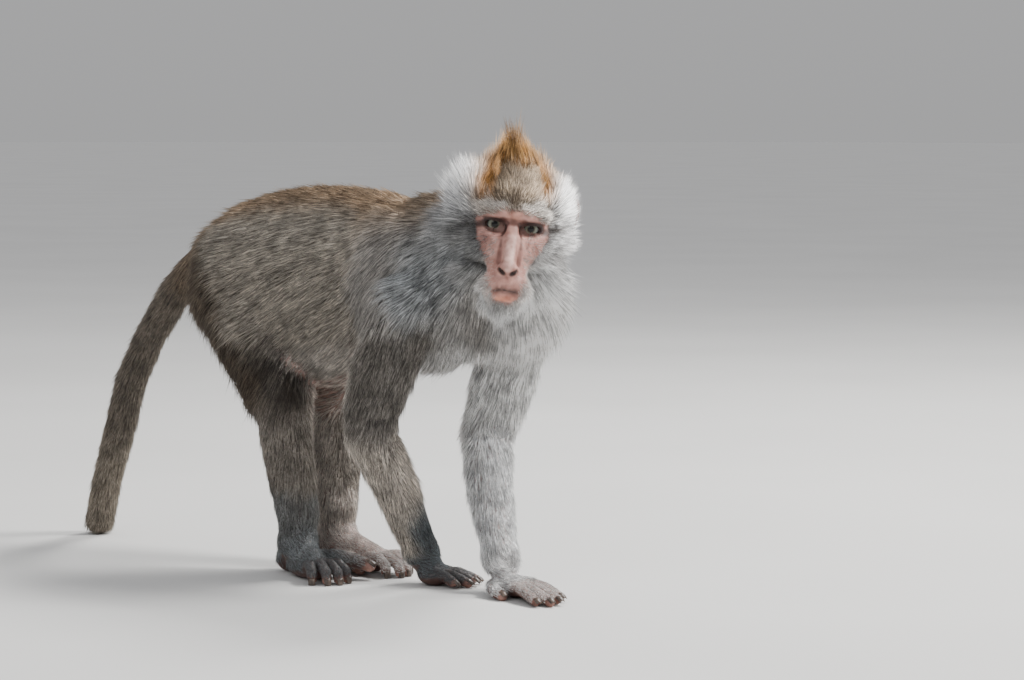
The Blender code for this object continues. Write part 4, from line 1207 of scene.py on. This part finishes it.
def ear(side):
    """Modelled flat, cup forwards, then turned onto the head; the right one mirrors the left."""
    s = SIDES[side]
    clay = Clay()
    clay.oval((0, 0, 0), (12.5, 3.4, 17.5), None, 2)
    clay.oval((0, -4.4, 2), (9.2, 4.0, 12.5), None, 1.2, True)
    clay.bars([([(-4, -0.6, -8), (-1, -1.4, 0), (3, -1.0, 8)], [1.5, 1.4, 1.0])], 1.2)
    clay.bars([([(-8, -1.4, -6), (-7.5, -1.8, -1)], [2.0, 1.6])], 1.2)
    shape = clay.mesh("pinna_" + side, 0.8)
    clay.settle(shape.data, 3)
    lean = HEAD_TURN.to_matrix() @ Euler([math.radians(a) for a in (-8, s * 12, s * -62)]).to_matrix()
    if s < 0:
        shape.data.transform(Matrix.Scale(-1, 4, (1, 0, 0)))
        shape.data.flip_normals()
    shape.data.transform(Matrix.Rotation(math.pi, 4, "Z"))
    shape.data.transform(lean.to_4x4())
    shape.data.transform(Matrix.Translation(head_point(s * EAR_PLACE[0], *EAR_PLACE[1:]) * MM))
    to_place(shape.data)
    shape.data.shade_smooth()
    shape.data.materials.append(ear_material)
    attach(shape, "root")
    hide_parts("ear_" + side)


constants = {"Roughness": 0.5, "Subsurface Weight": 0.1, "Subsurface Scale": 0.003}
ear_material, tree, shader = new_material("ear", constants)
feed(tree, shader.inputs["Base Color"], mottle(tree, 120, 4, srgb(84, 64, 58), srgb(140, 108, 98)))
bump(tree, shader, noise(tree, 700, 3), 0.3, 0.0005)
for side in SIDES:
    ear(side)

# ---------------------------------------------------------------- Nails
# Flat dark horn nails on every finger and toe, curved across and along, growing out of
# the skin at the back of each tip.


def nail_mesh():
    """A plate curved both ways: X across, Y along to its free end, Z up. About one unit wide."""
    points, faces, columns, rows = [], [], 6, 5
    for layer in (0, 1):
        for j in range(rows):
            for i in range(columns):
                x, y = i / (columns - 1) - 0.5, j / (rows - 1)
                wide = 0.5 * (1 - 0.25 * y**3)
                rise = 0.42 - 1.1 * x * x - 0.35 * y * y - (0 if layer else 0.12)
                points.append((2 * x * wide, y * 1.25 - 0.35 + (0 if layer else -0.02), rise))
    size = columns * rows
    for a in (j * columns + i for j in range(rows - 1) for i in range(columns - 1)):
        quad = (a, a + 1, a + 1 + columns, a + columns)
        faces += [tuple(size + q for q in quad), quad[::-1]]
    rim = [*range(columns), *range(2 * columns - 1, size, columns)]
    rim += [*range(size - 2, size - columns - 1, -1), *range(size - 2 * columns, 0, -columns)]
    faces += [(a, b, size + b, size + a) for a, b in zip(rim, rim[1:] + rim[:1])]
    return points, faces


def add_nails():
    """One nail on every tip, never lower than the floor."""
    plate, faces = nail_mesh()
    points, all_faces = [], []
    for before, tip, radius in tips:
        ahead = (tip - before).normalized()
        across = ahead.cross(Vector((0, 0, 1))).normalized()
        up = across.cross(ahead)
        start = len(points)
        wide = radius * 1.5
        for x, y, z in plate:
            place = tip + across * (x * wide) + ahead * (y * wide * 0.9 + radius * 0.15)
            place += up * (radius * 0.55 + z * wide * 0.85)
            place.z = max(place.z, FLOOR + 0.2)
            points.append((place + BENCH) * MM)
        all_faces += [tuple(start + i for i in face) for face in faces]
    nails = new_shape("nails", points, all_faces)
    nails.data.shade_smooth()
    material, tree, shader = new_material("horn", {"Roughness": 0.32})
    tone = mottle(tree, 260, 3, srgb(38, 32, 30), srgb(96, 82, 72))
    feed(tree, shader.inputs["Base Color"], tone)
    nails.data.materials.append(material)
    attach(nails, "root")


add_nails()

# ---------------------------------------------------------------- Floor, light and camera
# A pale studio floor under broad soft lamps, the main one high in front and to the
# animal's left. The long lens stands off its right side, at about its own height.


def floor():
    """A plain matt sheet of pale paper, far wider than the animal."""
    corners = [(-40, -40, 0), (40, -40, 0), (40, 40, 0), (-40, 40, 0)]
    plane = new_shape("floor", corners, [(0, 1, 2, 3)])
    material, tree, shader = new_material("floor", {"Roughness": 0.7})
    tone = mottle(tree, 2, 2, (0.62, 0.62, 0.61), (0.66, 0.66, 0.65))
    feed(tree, shader.inputs["Base Color"], tone)
    plane.data.materials.append(material)


def lamp(name, place, target, size, power, colour):
    """A square soft box turned to its target."""
    data = bpy.data.lights.new(name, "AREA")
    data.size = size
    data.energy = power
    data.color = colour
    light = bpy.data.objects.new(name, data)
    light.location = place
    light.rotation_euler = (Vector(target) - Vector(place)).to_track_quat("-Z", "Y").to_euler()
    bpy.context.collection.objects.link(light)


floor()
lamp("key", (1.2, -2.5, 2.6), (0, -0.1, 0.2), 0.9, 175, (1, 0.98, 0.95))
lamp("rim", (1.7, -0.2, 2.4), (0, -0.1, 0.25), 0.8, 80, (1, 0.98, 0.95))
lamp("fill", (-2.6, -0.6, 1.6), (0, 0, 0.2), 1.8, 16, (0.96, 0.98, 1))
world = bpy.data.worlds.new("studio")
world.use_nodes = True
sky = world.node_tree
around = add_node(sky, "ShaderNodeTexCoord").outputs["Generated"]
height = add_node(sky, "ShaderNodeSeparateXYZ", {0: around}).outputs["Z"]
tone = ramp(sky, height, [(0.0, (0.43, 0.43, 0.435)), (1.0, (0.79, 0.79, 0.81))])
feed(sky, sky.nodes["Background"].inputs["Color"], tone)
bpy.context.scene.world = world

camera = bpy.data.cameras.new("camera")
camera.lens = 105
camera.sensor_width = 36
camera.clip_end = 50
view = bpy.data.objects.new("camera", camera)
view.location = (-1.91653, -1.79788, 0.39600)
view.rotation_euler = Vector((0.77372622, 0.62917741, -0.07405084)).to_track_quat("-Z", "Y").to_euler()
bpy.context.collection.objects.link(view)
bpy.context.scene.camera = view
